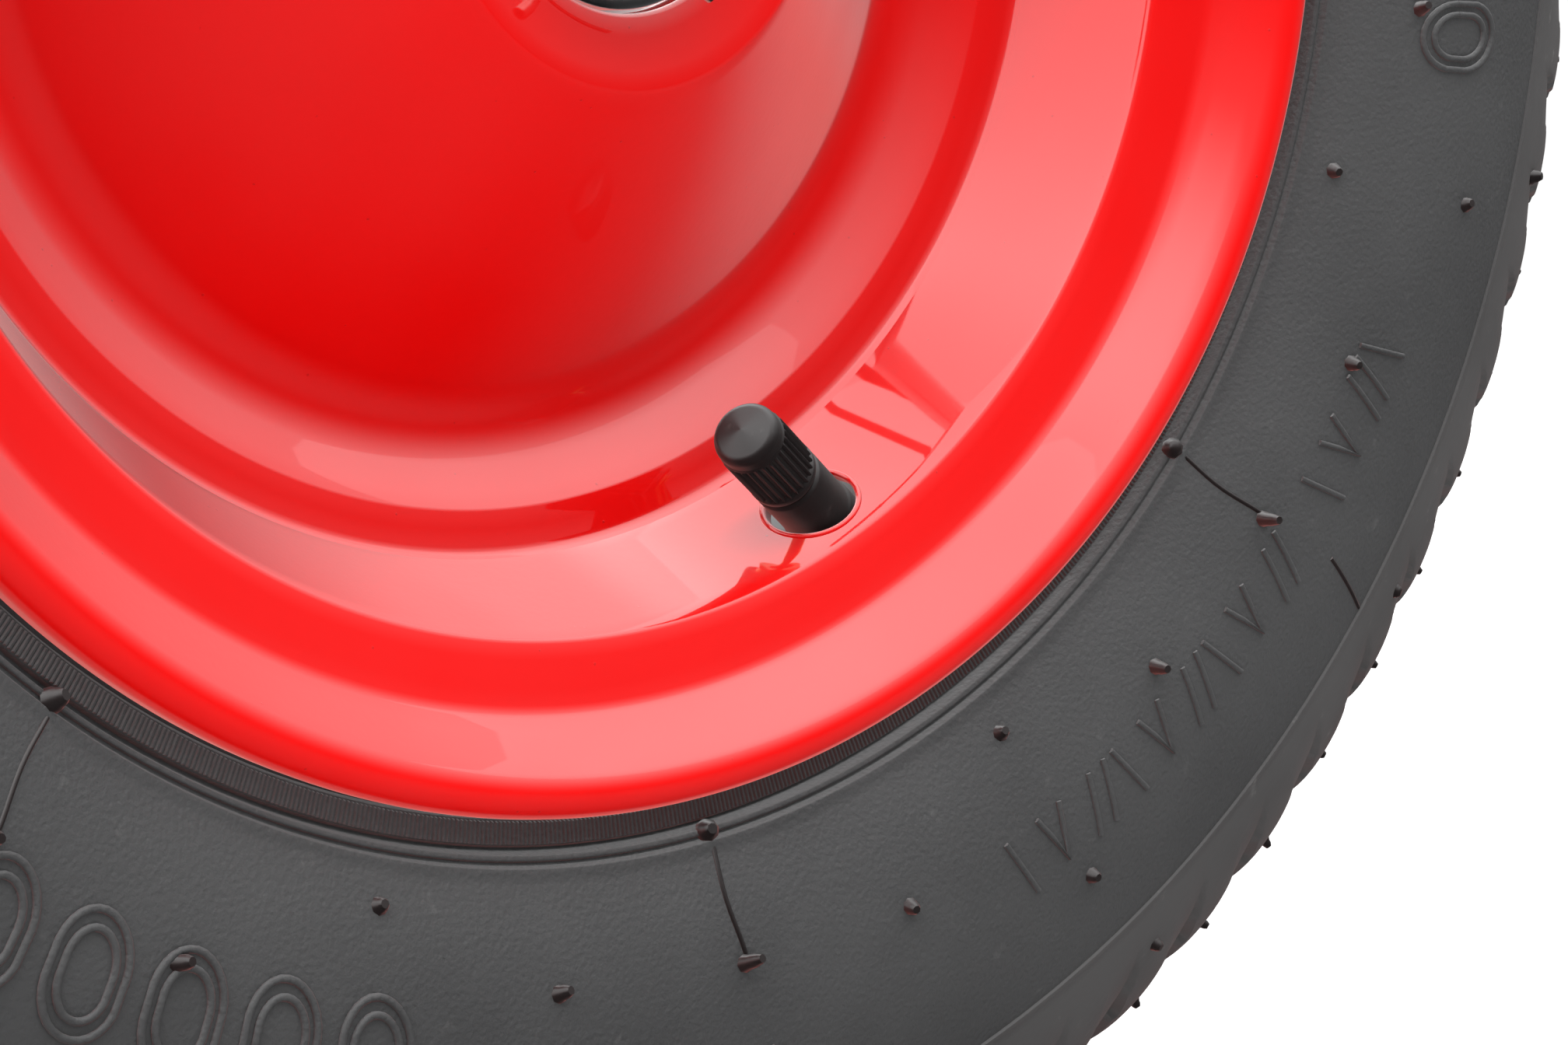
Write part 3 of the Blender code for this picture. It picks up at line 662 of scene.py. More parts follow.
def makeTread():
    # one pitch of the tread, a closed strip that is repeated round the tyre
    tuck = flankAngle(tyreShape["shoulder"])
    turns = np.array([0, .03, .05, .09, .14, .19, .24, .29, .33, .36, .39, .42, .46, .49, .53, .57,
                      .61, .65, .69, .73, .77, .81, .85, .88, .91, .94, .97, 1.0])
    start = math.degrees(tuck)
    angles = np.radians(np.concatenate([
        [start - 0.5, start, start + 0.8, 19.7, 21.5, 24, 26],
        np.linspace(27.5, 68, 22), np.linspace(69.4, 78.6, 12), np.linspace(80.2, 89.2, 6)]))
    whole = np.concatenate([angles, math.pi - angles[::-1]])
    pitch = 2 * math.pi / tyreShape["pitches"]
    rows = []
    for i, angle in enumerate(whole):
        near = min(angle, math.pi - angle)
        height = treadHeight(near, turns if angle < math.pi / 2 else turns + 0.5)
        if i in (0, len(whole) - 1):
            height = height - 0.7
        elif i in (1, 2, len(whole) - 3, len(whole) - 2):
            height = height + 0.35
        rows.append([flank(angle, h) + (t * pitch,) for h, t in zip(height, turns)])
    for angle in np.radians(np.linspace(180 - start, start, 24)):  # the strip's underside
        under = -2.8 if abs(angle - math.pi / 2) < 1.1 else -1.2
        rows.append([flank(angle, under) + (t * pitch,) for t in turns])
    points = [(d + beadPlane, r * math.cos(a), r * math.sin(a)) for row in rows for r, d, a in row]
    return meshOf("treadPitch", points, gridFaces(len(rows), len(turns), True, False), "tread")


def stub(name, radius, height):
    # a little moulded pin along x, wider at its foot and rounded at its tip
    root, crown = -1.2, 0.7
    corners = [(0, root, 0), (radius * 1.35, root, 0), (radius * 1.25, 0.0, 0), (radius, 0.5, 0),
               (radius * 0.94, height - crown, 0), (radius * 0.6, height, 0), (0, height, 0)]
    return spunSolid(name, corners, 8, "valve", (0, 0, 0), (1, 0, 0), sharp=50)


def nubs(name, radius, first, count=8, lengths=(0.6, 2.2), size=0.95, seed=1, lift=0.0):
    # moulding pips that stand square to the sidewall
    angle = float(flankAngle(radius))
    r, depth = (float(value) for value in flank(angle, lift))
    return ringOf(stub(name + "One", size, 1.7), name, "valve", count, first, lengths, lean=0.22, tilt=angle,
                  foot=(depth + beadPlane, r, 0), seed=seed, sharp=50)


signShape = {
    "radius": 142.6, "size": (4.6, 8.6), "gap": 3.0,
    "groups": {299.0: 9, 329.0: 4, 59.0: 9, 89.0: 4, 179.0: 9},  # first sign's angle and how many
    "kinds": (("bar", 0.25), ("chevron", 0.0), ("bar", -0.3)),  # each sign and its lean
    "capsuleRadius": 143.0, "capsule": (9.6, 11.2), "capsuleGap": 5.2, "capsuleLean": 0.12,
    "capsuleGroups": (237.0, 357.0, 117.0), "insets": (0, 3.2),
    "thread": 0.42, "capsuleThread": 0.5,
}


def mark(shape, radius, degrees, size, lean):
    # the path of a moulded sign on the sidewall: a plain bar, chevron or capsule
    wide, high = size
    outline = {
        "bar": [(0, -0.5), (0, -0.2), (0, 0.2), (0, 0.5)],
        "chevron": [(-0.5, -0.5), (-0.25, -0.1), (0, 0.4), (0.25, -0.1), (0.5, -0.5)],
        "capsule": [(0.5 * math.cos(a), 0.5 * math.sin(a) + (0.12 if math.sin(a) > 0 else -0.12))
                    for a in np.linspace(0, 2 * math.pi, 28)],
    }[shape]
    return [onWall(radius + b * high, degrees + math.degrees((a * wide + b * high * lean) / radius), 0.125)
            for a, b in outline]


def makeSigns():
    # plain signs round the sidewall, where such a tyre has its moulded marks
    thin, broad = [], []
    kinds, radius, size = signShape["kinds"], signShape["radius"], signShape["size"]
    for first, count in signShape["groups"].items():
        for i in range(count):
            place = first + signShape["gap"] * i
            shape, lean = kinds[i % 3]
            thin.append(mark(shape, radius, place, size, lean))
            if i % 3 == 2:
                thin.append(mark("bar", radius, place + 1.3, size, lean))
    for first in signShape["capsuleGroups"]:
        for i in range(5):
            for inset in signShape["insets"]:
                size = [length - inset for length in signShape["capsule"]]
                place = first + signShape["capsuleGap"] * i
                lean = signShape["capsuleLean"]
                broad.append(mark("capsule", signShape["capsuleRadius"], place, size, lean))
    return [threads("thinSigns", thin, signShape["thread"], "tyre"),
            threads("broadSigns", broad, signShape["capsuleThread"], "tyre")]


def makeMouldLines():
    # fine flash where the mould's sectors meet, on the bead ring and on the outer wall
    paths, sunk = [], -0.05
    for i in range(8):
        place = tyreShape["phase"] - 45.0 * i
        inner, outer = np.linspace(121.8, 135.5, 12), np.linspace(147, 162.5, 8)
        slanting = np.linspace(150.5, 162.8, 8)
        paths.append([onWall(r, place + 0.225 * math.sin(r / 3), sunk) for r in inner])
        if i % 2:
            paths.append([onWall(r, place + 1.0, sunk) for r in outer])
        else:
            paths.append([onWall(r, place + 1.3 - 0.5 * (r - 151) / 17, sunk) for r in slanting])
    return threads("mouldLines", paths, 0.34, "valve")


def makeBeadRibs():
    # short ribs side by side on the sloping bead ring, each a little wedge narrower at its top
    length, width, height, foot, inset = 2.9, 0.34, 0.5, -0.25, 0.2
    slope = 0.6 / 3.05
    around = ((-1, -1), (1, -1), (1, 1), (-1, 1))
    low = [(foot, y * length / 2, z * width / 2) for y, z in around]
    high = [(height, y * (length / 2 - inset), z * width / 3) for y, z in around]
    box = [(x + y * slope, y, z) for x, y, z in low + high]
    faces = [(0, 1, 2, 3), (4, 7, 6, 5), (0, 4, 5, 1), (1, 5, 6, 2), (2, 6, 7, 3), (3, 7, 4, 0)]
    rib = facesOut(meshOf("rib", box, faces, "tyre"))
    return ringOf(rib, "beadRibs", "tyre", tyreShape["ribs"], foot=(beadPlane + 0.15, 117.0, 0), sharp=30)


def makeTyre():
    pieces = [makeCasing(), makeBeadRibs()]
    pieces += makeSigns()
    onWheel(join("tyreSidewalls", pieces), "tyreSidewalls", ["tyre"])
    phase = tyreShape["phase"]
    pips = [
        nubs("pipsBead", 119.9, phase, lengths=(0.5, 0.9), size=1.15, lift=0.6, seed=2),
        nubs("pipsInner", 135.8, phase, lengths=(1.2, 2.6), seed=4),
        nubs("pipsAhead", 138.0, phase + 11.3, lengths=(0.6, 1.6), seed=5),
        nubs("pipsBehind", 135.0, phase - 11.8, lengths=(1.0, 2.0), seed=6),
        nubs("pipsSmall", 126.2, phase + 22.0, lengths=(0.5, 1.0), seed=7),
        nubs("pipsOuter", 151.0, phase + 23.0, lengths=(0.5, 1.7), seed=8),
        nubs("pipsShoulder", 173.2, phase - 18.6, count=16, lengths=(0.5, 0.9), seed=9),
        makeMouldLines(),
    ]
    pitches = tyreShape["pitches"]
    first = 0.62 * 360 / pitches
    for face in (0, 1):
        lug = nubs(f"pipsLug{face}", 188.5, first, pitches, (0.5, 0.8), 0.75, 11 + face, 0.9)
        if face:
            lug.data.transform(Matrix.Diagonal((-1, 1, 1, 1)))
            lug.data.flip_normals()
        pips.append(lug)
    tread = ringOf(makeTread(), "tread", "tread", tyreShape["pitches"], weld=0.004, sharp=38)
    onWheel(facesOut(tread, 0.003), "tread")
    onWheel(join("mouldPips", pips), "mouldPips")


makeTyre()
print("tyres made")

# rim, discs, hub
rimShape = {
    "ring": [(114.9, 0.2, 0), (114.9, 12.0, 4.0), (103.1, -3.4, 2.6), (94.5, -5.5, 0.9), (86.7, -24.9, 1.5),
             (86.3, -32.0, 3.0), (86.3, -beadPlane, 0)],
    "ringSheet": 2.2,
    "disc": [(88.6, -21.0, 0), (86.35, -25.45, 1.5), (81.0, -26.5, 0.8), (70.5, -35.6, 9.0), (27.9, 0.8, 0.9),
             (18.6, -0.8, 2.0), (18.6, -1.4, 0)],
    "discSheet": 2.0,
    "segments": 360,
    "hole": 5.9, "holeLip": 0.12,
    "hub": (18.5, 20.6), "hubEnd": -3.2,
}
valveShape = {
    "angle": 300.5,
    "radius": 91.0,
    "depth": -13.5,
    "lean": (0.79, 0.35, -0.48),    # towards the axle, outboard, round the rim
}


def valveLine():
    turn = math.radians(valveShape["angle"])
    inward = Vector((0, -math.cos(turn), -math.sin(turn)))
    around = Vector((0, -math.sin(turn), math.cos(turn)))
    out = Vector((1, 0, 0))
    hole = out * (beadPlane + valveShape["depth"]) - inward * valveShape["radius"]
    towards, proud, sideways = valveShape["lean"]
    return hole, (inward * towards + out * proud + around * sideways).normalized()


def drill(obj, start, along, radius, low, high, sides=64):
    # cut a round hole; the tool goes once the cut is made
    corners = [(0, low, 0), (radius, low, 0), (radius, high, 0), (0, high, 0)]
    tool = spunSolid("tool", corners, sides, "red", start, along)
    cut = obj.modifiers.new("hole", "BOOLEAN")
    cut.object, cut.operation, cut.solver = tool, "DIFFERENCE", "EXACT"
    bpy.context.view_layer.update()
    mesh = bpy.data.meshes.new_from_object(obj.evaluated_get(bpy.context.evaluated_depsgraph_get()))
    obj.modifiers.remove(cut)
    obj.data = mesh
    bpy.data.objects.remove(tool)
    return obj


def sheetLine(line, thickness):
    # a closed outline: the seen side, then the back of the sheet in reverse
    return np.concatenate([line, offsetLine(line, thickness)[::-1]])


def holeEdge(hole, lean, low, high):
    # points round the valve hole where the drill leaves the rim's sloping wall
    (topRadius, topDepth, _), (footRadius, footDepth, _) = rimShape["ring"][3:5]
    slope = (footRadius - topRadius) / (footDepth - topDepth)
    side = lean.cross(Vector((1, 0, 0))).normalized()
    other = lean.cross(side).normalized()
    edge = []
    for turn in np.linspace(0, 2 * math.pi, 72, endpoint=False):
        spoke = side * math.cos(turn) + other * math.sin(turn)
        start = hole + spoke * (rimShape["hole"] + rimShape["holeLip"])
        under, above = low, high
        for _ in range(40):
            reach = (under + above) / 2
            point = start + lean * reach
            wall = topRadius + (point.x - beadPlane - topDepth) * slope
            if math.hypot(point.y, point.z) > wall:
                under = reach
            else:
                above = reach
        edge.append(tuple(start + lean * under))
    return edge


def makeRim():
    segments = rimShape["segments"]
    half = rounded(rimShape["ring"], 0.45, 2.4)
    line = np.concatenate([half, across(half[:-1])])
    ring = turned("rimRing", sheetLine(line, -rimShape["ringSheet"]), segments, "red", sharp=50)
    hole, lean = valveLine()
    low, high = -9.0, 12.0
    drill(ring, hole, lean, rimShape["hole"], low, high)
    smooth(ring, 50)
    # the coat stands up in a fine ring round the valve hole
    lip = threads("holeEdge", [holeEdge(hole, lean, low, high)], 0.42, "red", 8, closed=True)
    onWheel(join("rimRing", [ring, lip]), "rimRing", ["rim_ring"])
    face = rounded(rimShape["disc"], 0.5, 2.4)
    for label, seen in (("outboard", face), ("inboard", across(face))):
        name = f"disc_{label}"
        disc = turned(name, sheetLine(seen, -rimShape["discSheet"]), segments, "red", sharp=50)
        onWheel(disc, name, [f"rim_{name}"])
    inner, outer = rimShape["hub"]
    end = rimShape["hubEnd"]
    far = -2 * beadPlane - end
    corners = [(inner, -40, 0), (inner, end, 0.3), (outer, end, 0.3), (outer, far, 0.3), (inner, far, 0.3),
               (inner, -41, 0)]
    hub = turned("hubTube", rounded(corners, 0.3, 8.0), 96, "red")
    onWheel(hub, "hubTube", ["hub_tube"])


makeRim()
print("rims made")


def aimed(obj, start, along):
    # a piece made along x, moved so that x runs along a line from a start point
    turn = Vector(along).to_track_quat("X", "Z").to_matrix().to_4x4()
    obj.data.transform(Matrix.Translation(start) @ turn)
    return obj


def collar(name, corners, segments, paint, sharp=40):
    # a ring about the x axis from (radius, distance, fillet) corners of its closed outline
    a, b = corners[0], corners[-1]
    middle = ((a[0] + b[0]) / 2, (a[1] + b[1]) / 2, 0)
    line = rounded([middle] + list(corners) + [middle], 0.3, 6.0)[:-1]
    return turned(name, line, segments, paint, sharp=sharp, depthZero=0.0)


def finished(obj, sharp=None, **modifiers):
    # the plain mesh after Solidify or Bevel, with the modifiers used up
    for kind, settings in modifiers.items():
        modifier = obj.modifiers.new(kind, kind.upper())
        for key, value in settings.items():
            setattr(modifier, key, value)
    bpy.context.view_layer.update()
    mesh = bpy.data.meshes.new_from_object(obj.evaluated_get(bpy.context.evaluated_depsgraph_get()))
    obj.modifiers.clear()
    obj.data = mesh
    smooth(obj, sharp)
    return obj


# inner tube, valve stem and cap
tubeShape = {"circle": 140.0, "radius": 36.5}
stemShape = {"radius": 4.75, "shoulder": 8.6, "tip": 3.5, "tipEnd": 19.0, "bore": 2.0, "thread": 0.8}
capShape = {"foot": 9.3, "length": 14.0, "radius": 4.3, "ribs": 28, "dome": 4.45, "ribEnd": 10.3}


def makeTubeAndStem():
    centre, radius = tubeShape["circle"], tubeShape["radius"]
    circle = [(centre + radius * math.cos(a), -beadPlane + radius * math.sin(a))
              for a in np.linspace(0, 2 * math.pi, 28, endpoint=False)]
    tube = turned("tube", np.array(circle), 120, "valve")
    r, bore, tip, end = (stemShape[key] for key in ("radius", "bore", "tip", "tipEnd"))
    shoulder, pitch = stemShape["shoulder"], stemShape["thread"]
    stem = collar("stem", [
        (bore, -28, 0), (8.0, -28, 1), (8.0, -24, 2), (r + 0.5, -20, 3), (r + 0.25, -2.2, 0.3),
        (r, -1.6, 0.2), (r, 8.2, 0.4), (r - 0.5, shoulder, 0.2), (bore, shoulder, 0)], 48, "valve", 30)
    hole, lean = valveLine()
    stem = aimed(stem, hole, lean)
    onWheel(join("innerTube", [tube, stem]), "innerTube", ["inner_tube"])
    corners = [(bore, 8.4, 0), (3.1, 8.4, 0.1)]
    along = shoulder - 0.1
    while along < end - 1.0:
        corners += [(tip, along, 0.1), (tip - 0.4, along + pitch / 2, 0.08)]
        along += pitch
    corners += [(tip - 0.3, end - 0.3, 0.2), (tip - 0.7, end, 0.2), (bore, end, 0.1)]
    onWheel(aimed(collar("stemTip", corners, 40, "brass", 30), hole, lean), "stemTip")
    pin, ring = 0.8, 1.5
    core = spunSolid("valvePin", [
        (0, 3.0, 0), (pin, 3.0, 0.2), (pin, 11.0, 0.1), (ring, 11.0, 0.2), (ring, 12.5, 0.2),
        (pin, 12.6, 0.1), (pin, 17.7, 0.25), (0.5, 18.0, 0.1), (0, 18.0, 0)], 24, "brass", hole, lean)
    onWheel(core, "valvePin", ["valve_pin"], "pin")


def makeCapRib(low, high):
    # one rib of the cap, round in section and run out at both ends
    root = capShape["radius"] - 0.12
    half = [(-0.34, 0.0), (-0.2, 0.26), (0.0, 0.4), (0.2, 0.26), (0.34, 0.0)]
    stations = [(low, 0.9), (low + 0.3, 1), (high - 0.6, 1.0), (high - 0.1, 0.9), (high + 0.2, 0.2)]
    points = []
    for along, tall in stations:
        points += [(along, root + out * tall + (0.12 if out else 0), sideways) for sideways, out in half]
    count = len(half)
    faces = gridFaces(len(stations), count, False, True)
    faces += [tuple(range(count)), tuple(range(len(points) - 1, len(points) - 1 - count, -1))]
    return facesOut(meshOf("capRib", points, faces, "valve"))


def makeCap():
    foot, r, dome = capShape["foot"], capShape["radius"], capShape["dome"]
    end, ribEnd = foot + capShape["length"], foot + capShape["ribEnd"]
    body = collar("capBody", [
        (3.9, end - 3.7, 0), (3.9, foot + 0.3, 0.1), (4.05, foot, 0.1), (4.55, foot, 0.15),
        (4.75, foot + 0.25, 0.15), (4.75, foot + 1.0, 0.15), (4.5, foot + 1.25, 0.1), (r, foot + 1.4, 0.1),
        (r, ribEnd, 0.1), (dome + 0.2, ribEnd + 0.25, 0.15), (dome, ribEnd + 0.6, 0.15),
        (dome, end - 1.0, 3.2), (0.02, end, 0), (0.02, end - 3.7, 0)], 84, "valve", 34)
    rib = makeCapRib(foot + 1.1, ribEnd + 0.2)
    ribs = ringOf(rib, "capRibs", "valve", capShape["ribs"], sharp=50)
    hole, lean = valveLine()
    cap = aimed(join("valveCap", [body, ribs]), hole, lean)
    onWheel(cap, "valveCap", ["valve_cap"], "cap")


makeTubeAndStem()
makeCap()
print("valves made")

# bearings
bearingShape = {
    "middles": {"outboard": -6.4, "inboard": -75.6},
    "half": 4.5, "outerBack": 18.2, "innerBore": 10.25, "circle": 14.25, "ball": 2.1, "balls": 7,
    "race": 2.35, "groove": 2.5, "track": 2.0,
}


def raceLine(rim, wall, groove, middle):
    # the outline of a bearing's race: its seat at rim, its inner face at wall and the balls' groove
    half, track = bearingShape["half"], bearingShape["track"]
    low, high = middle - half, middle + half
    return [(wall, low, 0.2), (rim, low, 0.5), (rim, high, 0.5), (wall, high, 0.2),
            (wall, middle + track, 0.2), (groove, middle, 1.2), (wall, middle - track, 0.2)]


def makeBearings():
    shape = bearingShape
    circle, thick, deep, r = (shape[key] for key in ("circle", "race", "groove", "ball"))
    outerBack, innerBore = shape["outerBack"], shape["innerBore"]
    for face, depth in shape["middles"].items():
        middle = beadPlane + depth
        line = raceLine(outerBack, outerBack - thick, circle + deep, middle)
        onWheel(collar("outer", line, 96, "bearing"), f"bearingOuter_{face}",
                [f"bearing_outer_{face}"])
        line = raceLine(innerBore, innerBore + thick, circle - deep, middle)
        bothSides(collar("inner", line, 96, "bearing"), f"bearingInner_{face}", "root",
                  [f"bearing_inner_{face}"], wheelMiddle)
        arc = [(r * math.sin(a), -r * math.cos(a), 0) for a in np.linspace(0, math.pi, 13)[1:-1]]
        ball = spunSolid("ball", [(0, -r, 0)] + arc + [(0, r, 0)], 24, "bearing", (0, 0, 0), (1, 0, 0))
        balls = ringOf(ball, "balls", "bearing", shape["balls"], foot=(middle, circle, 0))
        cage = collar("cage", [
            (13.6, middle - 0.55, 0.2), (14.9, middle - 0.55, 0.2), (14.9, middle + 0.55, 0.2),
            (13.6, middle + 0.55, 0.2)], 84, "brass")
        onWheel(join("ballCage", [balls, cage]), f"ballCage_{face}", [f"ball_cage_{face}"],
                f"cage_{face}")


makeBearings()
print("bearings made")

# axle and its fittings
axleShape = {"radius": 9.95, "bore": 10.3, "pinDepth": 9.0, "pinWire": 0.78, "eye": 4.0}


def makeAxle():
    half, r = nodeCorners("axle")[1].x, axleShape["radius"]
    corners = [(0, -half, 0), (r, -half, 1.4), (r, half, 1.4), (0, half, 0)]
    axle = spunSolid("axle", corners, 96, "zinc", (0, axleY, axleZ), (1, 0, 0))
    pinX = wheelMiddle.x + beadPlane + axleShape["pinDepth"]
    for side in (1, -1):
        drill(axle, (side * pinX, axleY, axleZ), (0, 0, 1), 1.9, -20, 20, 24)
    once(finished(axle, 30), "axle", ["axle"])
    bore = axleShape["bore"]
    for name, node, edge in (("axleSpacer", "axle_spacer", 0.8), ("axleCollar", "axle_collar", 0.35),
                             ("axleWasher", "axle_washer", 0.35)):
        low, high = nodeCorners(node + "_right")
        r = (high.z - low.z) / 2
        corners = [(bore, low.x, 0.2), (r, low.x, edge), (r, high.x, edge), (bore, high.x, 0.2)]
        ring = collar(name, corners, 72, "zinc")
        ring.data.transform(Matrix.Translation((0, axleY, axleZ)))
        bothSides(ring, name, "root", [node])
    wire, eye = axleShape["pinWire"], axleShape["eye"]
    top = axleShape["radius"] + 2.0 + eye
    legs = []
    for way in (1, -1):
        loop = [(way * (eye * math.sin(a)), top - eye * math.cos(a)) for a in np.linspace(math.pi, 0.5, 14)]
        leg = [(way * 1.1, 10.6), (way * wire, 9.0), (way * wire, 0), (way * wire, -10.5), (way * 1.2, -12.0)]
        bend = [(way * 2.4, -13.6), (way * 4.4, -15.2), (way * 6.6, -16.2)] if way > 0 else [
            (way * 2.2, -14.0), (way * 3.6, -15.6), (way * 5.0, -16.6)]
        legs.append([(pinX, axleY + y, axleZ + z) for y, z in loop + leg + bend])
    bothSides(threads("splitPin", legs, wire, "zinc", 10), "splitPin", "root", ["split_pin"])


makeAxle()
print("axle made")

# frame
frameShape = {
    "railX": 145.0, "railY": -45.0, "railRadius": 14.0, "railWall": 2.0, "foot": 8.0, "straight": 1020.0,
    "bend": 100.0, "turn": 75.0, "handle": 165.0, "gripLength": 130.0, "gripWall": 4.0,
    "bar": 10.0, "bars": {"lower": 105.0, "middle": 400.0, "upper": 680.0, "top": 960.0}, "weld": 2.1,
}


def handleLine():
    shape = frameShape
    turn = math.radians(shape["turn"])
    centre = Vector((0, shape["railY"] + shape["bend"], shape["straight"]))
    bend = [centre + Vector((0, -math.cos(a), math.sin(a))) * shape["bend"] for a in np.linspace(0, turn, 26)]
    back = Vector((0, math.sin(turn), math.cos(turn)))
    return bend, back, bend[-1] + back * shape["handle"]


def tubeAlong(name, path, radius, wall, sides, paint, x):
    # a bent tube with open, rounded-off ends; its path lies in a plane of constant x
    path = [Vector(p) for p in path]
    points = []
    count = len(path)
    for hollow in (False, True):
        for i in (range(count) if not hollow else range(count - 1, -1, -1)):
            ahead = (path[min(i + 1, count - 1)] - path[max(i - 1, 0)]).normalized()
            out = Vector((1, 0, 0)).cross(ahead)
            r = radius - wall if hollow else (radius - 0.4 if i in (0, count - 1) else radius)
            for a in (2 * math.pi * k / sides for k in range(sides)):
                points.append(path[i] + Vector((x + math.cos(a) * r, 0, 0)) + out * math.sin(a) * r)
    obj = meshOf(name, points, gridFaces(count * 2, sides, True, True), paint)
    return smoothOut(obj, 38)


def makeRails():
    shape = frameShape
    bend, back, tip = handleLine()
    x, y = shape["railX"], shape["railY"]
    straight = [Vector((0, y, z)) for z in np.linspace(shape["foot"], shape["straight"], 30)[:-1]]
    path = [straight[0], straight[0] + Vector((0, 0, 0.4))] + straight[1:] + bend
    path += [bend[-1] + back * d for d in (40, 80, 120, shape["handle"] - 0.4, shape["handle"])]
    rail = tubeAlong("rail", path, shape["railRadius"], shape["railWall"], 64, "red", x)
    beads = []
    for height in shape["bars"].values():
        beads.append([(x - math.sqrt(shape["railRadius"] ** 2 - (shape["bar"] * math.cos(a)) ** 2) - 0.2,
                       y + (shape["bar"] + 0.3) * math.cos(a), height + (shape["bar"] + 0.3) * math.sin(a))
                      for a in np.linspace(0, 2 * math.pi, 40, endpoint=False)])
    weld = welds("barWelds", beads, shape["weld"], 1.5, 5, closed=True)
    bothSides(join("rail", [rail, weld]), "rail", "root", ["rail"])
    inside = shape["railRadius"] + 0.15
    r = inside + shape["gripWall"]
    start = -shape["gripLength"]
    corners = [(inside, start, 0.2), (r + 3.2, start, 1.2), (r + 3.2, start + 4, 1.6),
               (r - 0.9, start + 7, 1.5)]
    along = start + 12
    while along < -14:
        corners += [(r - 0.9, along, 0.4), (r, along + 0.9, 0.5), (r, along + 2.4, 0.5),
                    (r - 0.9, along + 3.3, 0.4)]
        along += 5.6
    corners += [(r - 0.4, -8, 1), (r - 0.2, 1.5, 2.5), (r - 4.5, 4.0, 2.0), (0.02, 4.0, 0), (0.02, 0.2, 0),
                (inside, 0.2, 0)]
    grip = aimed(collar("grip", corners, 72, "grip", 42), (x, tip.y, tip.z), back)
    bothSides(grip, "grip", "root", ["grip"])


def makeCrossbars():
    shape = frameShape
    r, wall = shape["bar"], 1.6
    for label, height in shape["bars"].items():
        sides, rows = 48, []
        for radius, way in ((r, -1), (r, 1), (r - wall, 1), (r - wall, -1)):
            row = []
            for k in range(sides):
                a = 2 * math.pi * k / sides
                y, z = radius * math.cos(a), radius * math.sin(a)
                reach = shape["railX"] - math.sqrt(shape["railRadius"] ** 2 - y ** 2) - 0.3
                row.append((way * reach, shape["railY"] + y, height + z))
            rows += row
        bar = smoothOut(meshOf("bar", rows, gridFaces(4, sides, True, True), "red"), 40)
        once(bar, f"crossbar_{label}", [f"crossbar_{label}"])


def plate(name, outline, low, high, holes=(), bevel=0.7):
    # a flat plate across x from a (y, z, fillet) outline, with softened edges
    closed = [tuple((Vector(outline[0][:2]) + Vector(outline[-1][:2])) / 2) + (0,)]
    line = rounded(closed + list(outline) + closed, 1.2, 400)[:-1]
    n = len(line)
    points = [(low, y, z) for y, z in line] + [(high, y, z) for y, z in line]
    faces = [tuple(range(n)), tuple(range(2 * n - 1, n - 1, -1))]
    faces += [(i, i + n, (i + 1) % n + n, (i + 1) % n) for i in range(n)]
    obj = facesOut(meshOf(name, points, faces, "red"))
    for y, z, radius in holes:
        drill(obj, (low - 5, y, z), (1, 0, 0), radius, 0, high - low + 10, 48)
    rounding = {"width": bevel, "segments": 2, "limit_method": "ANGLE", "angle_limit": 0.7}
    return finished(obj, 30, Bevel=rounding)


def makeToePlate():
    low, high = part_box("toe_plate")
    half, front, back, top = high.x / mm, low.y / mm, high.y / mm, high.z / mm
    bend, thick, corner, crown = 7.0, 5.0, 25.0, 15.0
    run = []
    close = corner * (1 - np.cos(np.linspace(0, math.pi / 2, 14)))
    for s in np.concatenate([close, np.linspace(32, 210, 24)]):
        run.append((front + s, 0.0, s))
    run = [p for p in run if p[0] < back - bend]
    run += [(back - bend + bend * math.sin(a), bend - bend * math.cos(a), 999.0)
            for a in np.linspace(0, math.pi / 2, 10)]
    flange = np.concatenate([np.linspace(bend + 4, top - crown, 8),
                             top - crown + crown * np.sin(np.linspace(0, math.pi / 2, 12))[1:]])
    run += [(back, z, 999.0) for z in flange]
    points, columns = [], 41
    for y, z, s in run:
        inset = 0.0
        if s < corner:
            inset = corner - math.sqrt(max(corner ** 2 - (corner - s) ** 2, 0))
        if z > top - crown:
            inset = crown - math.sqrt(max(crown ** 2 - (z - top + crown) ** 2, 0))
        points += [(x * (half - inset), y, z) for x in np.linspace(-1, 1, columns)]
    obj = meshOf("toePlate", points, gridFaces(len(run), columns, False, False), "red")
    bm = bmesh.new()
    bm.from_mesh(obj.data)
    bmesh.ops.recalc_face_normals(bm, faces=bm.faces)
    up = sum(face.normal.z for face in bm.faces)
    if up > 0:
        bmesh.ops.reverse_faces(bm, faces=bm.faces)
    bm.to_mesh(obj.data)
    bm.free()
    finished(obj, 35, Solidify={"thickness": thick, "offset": -1.0, "use_even_offset": True},
             Bevel={"width": 0.8, "segments": 2, "limit_method": "ANGLE", "angle_limit": 0.9})
    once(obj, "toePlate", ["toe_plate"])


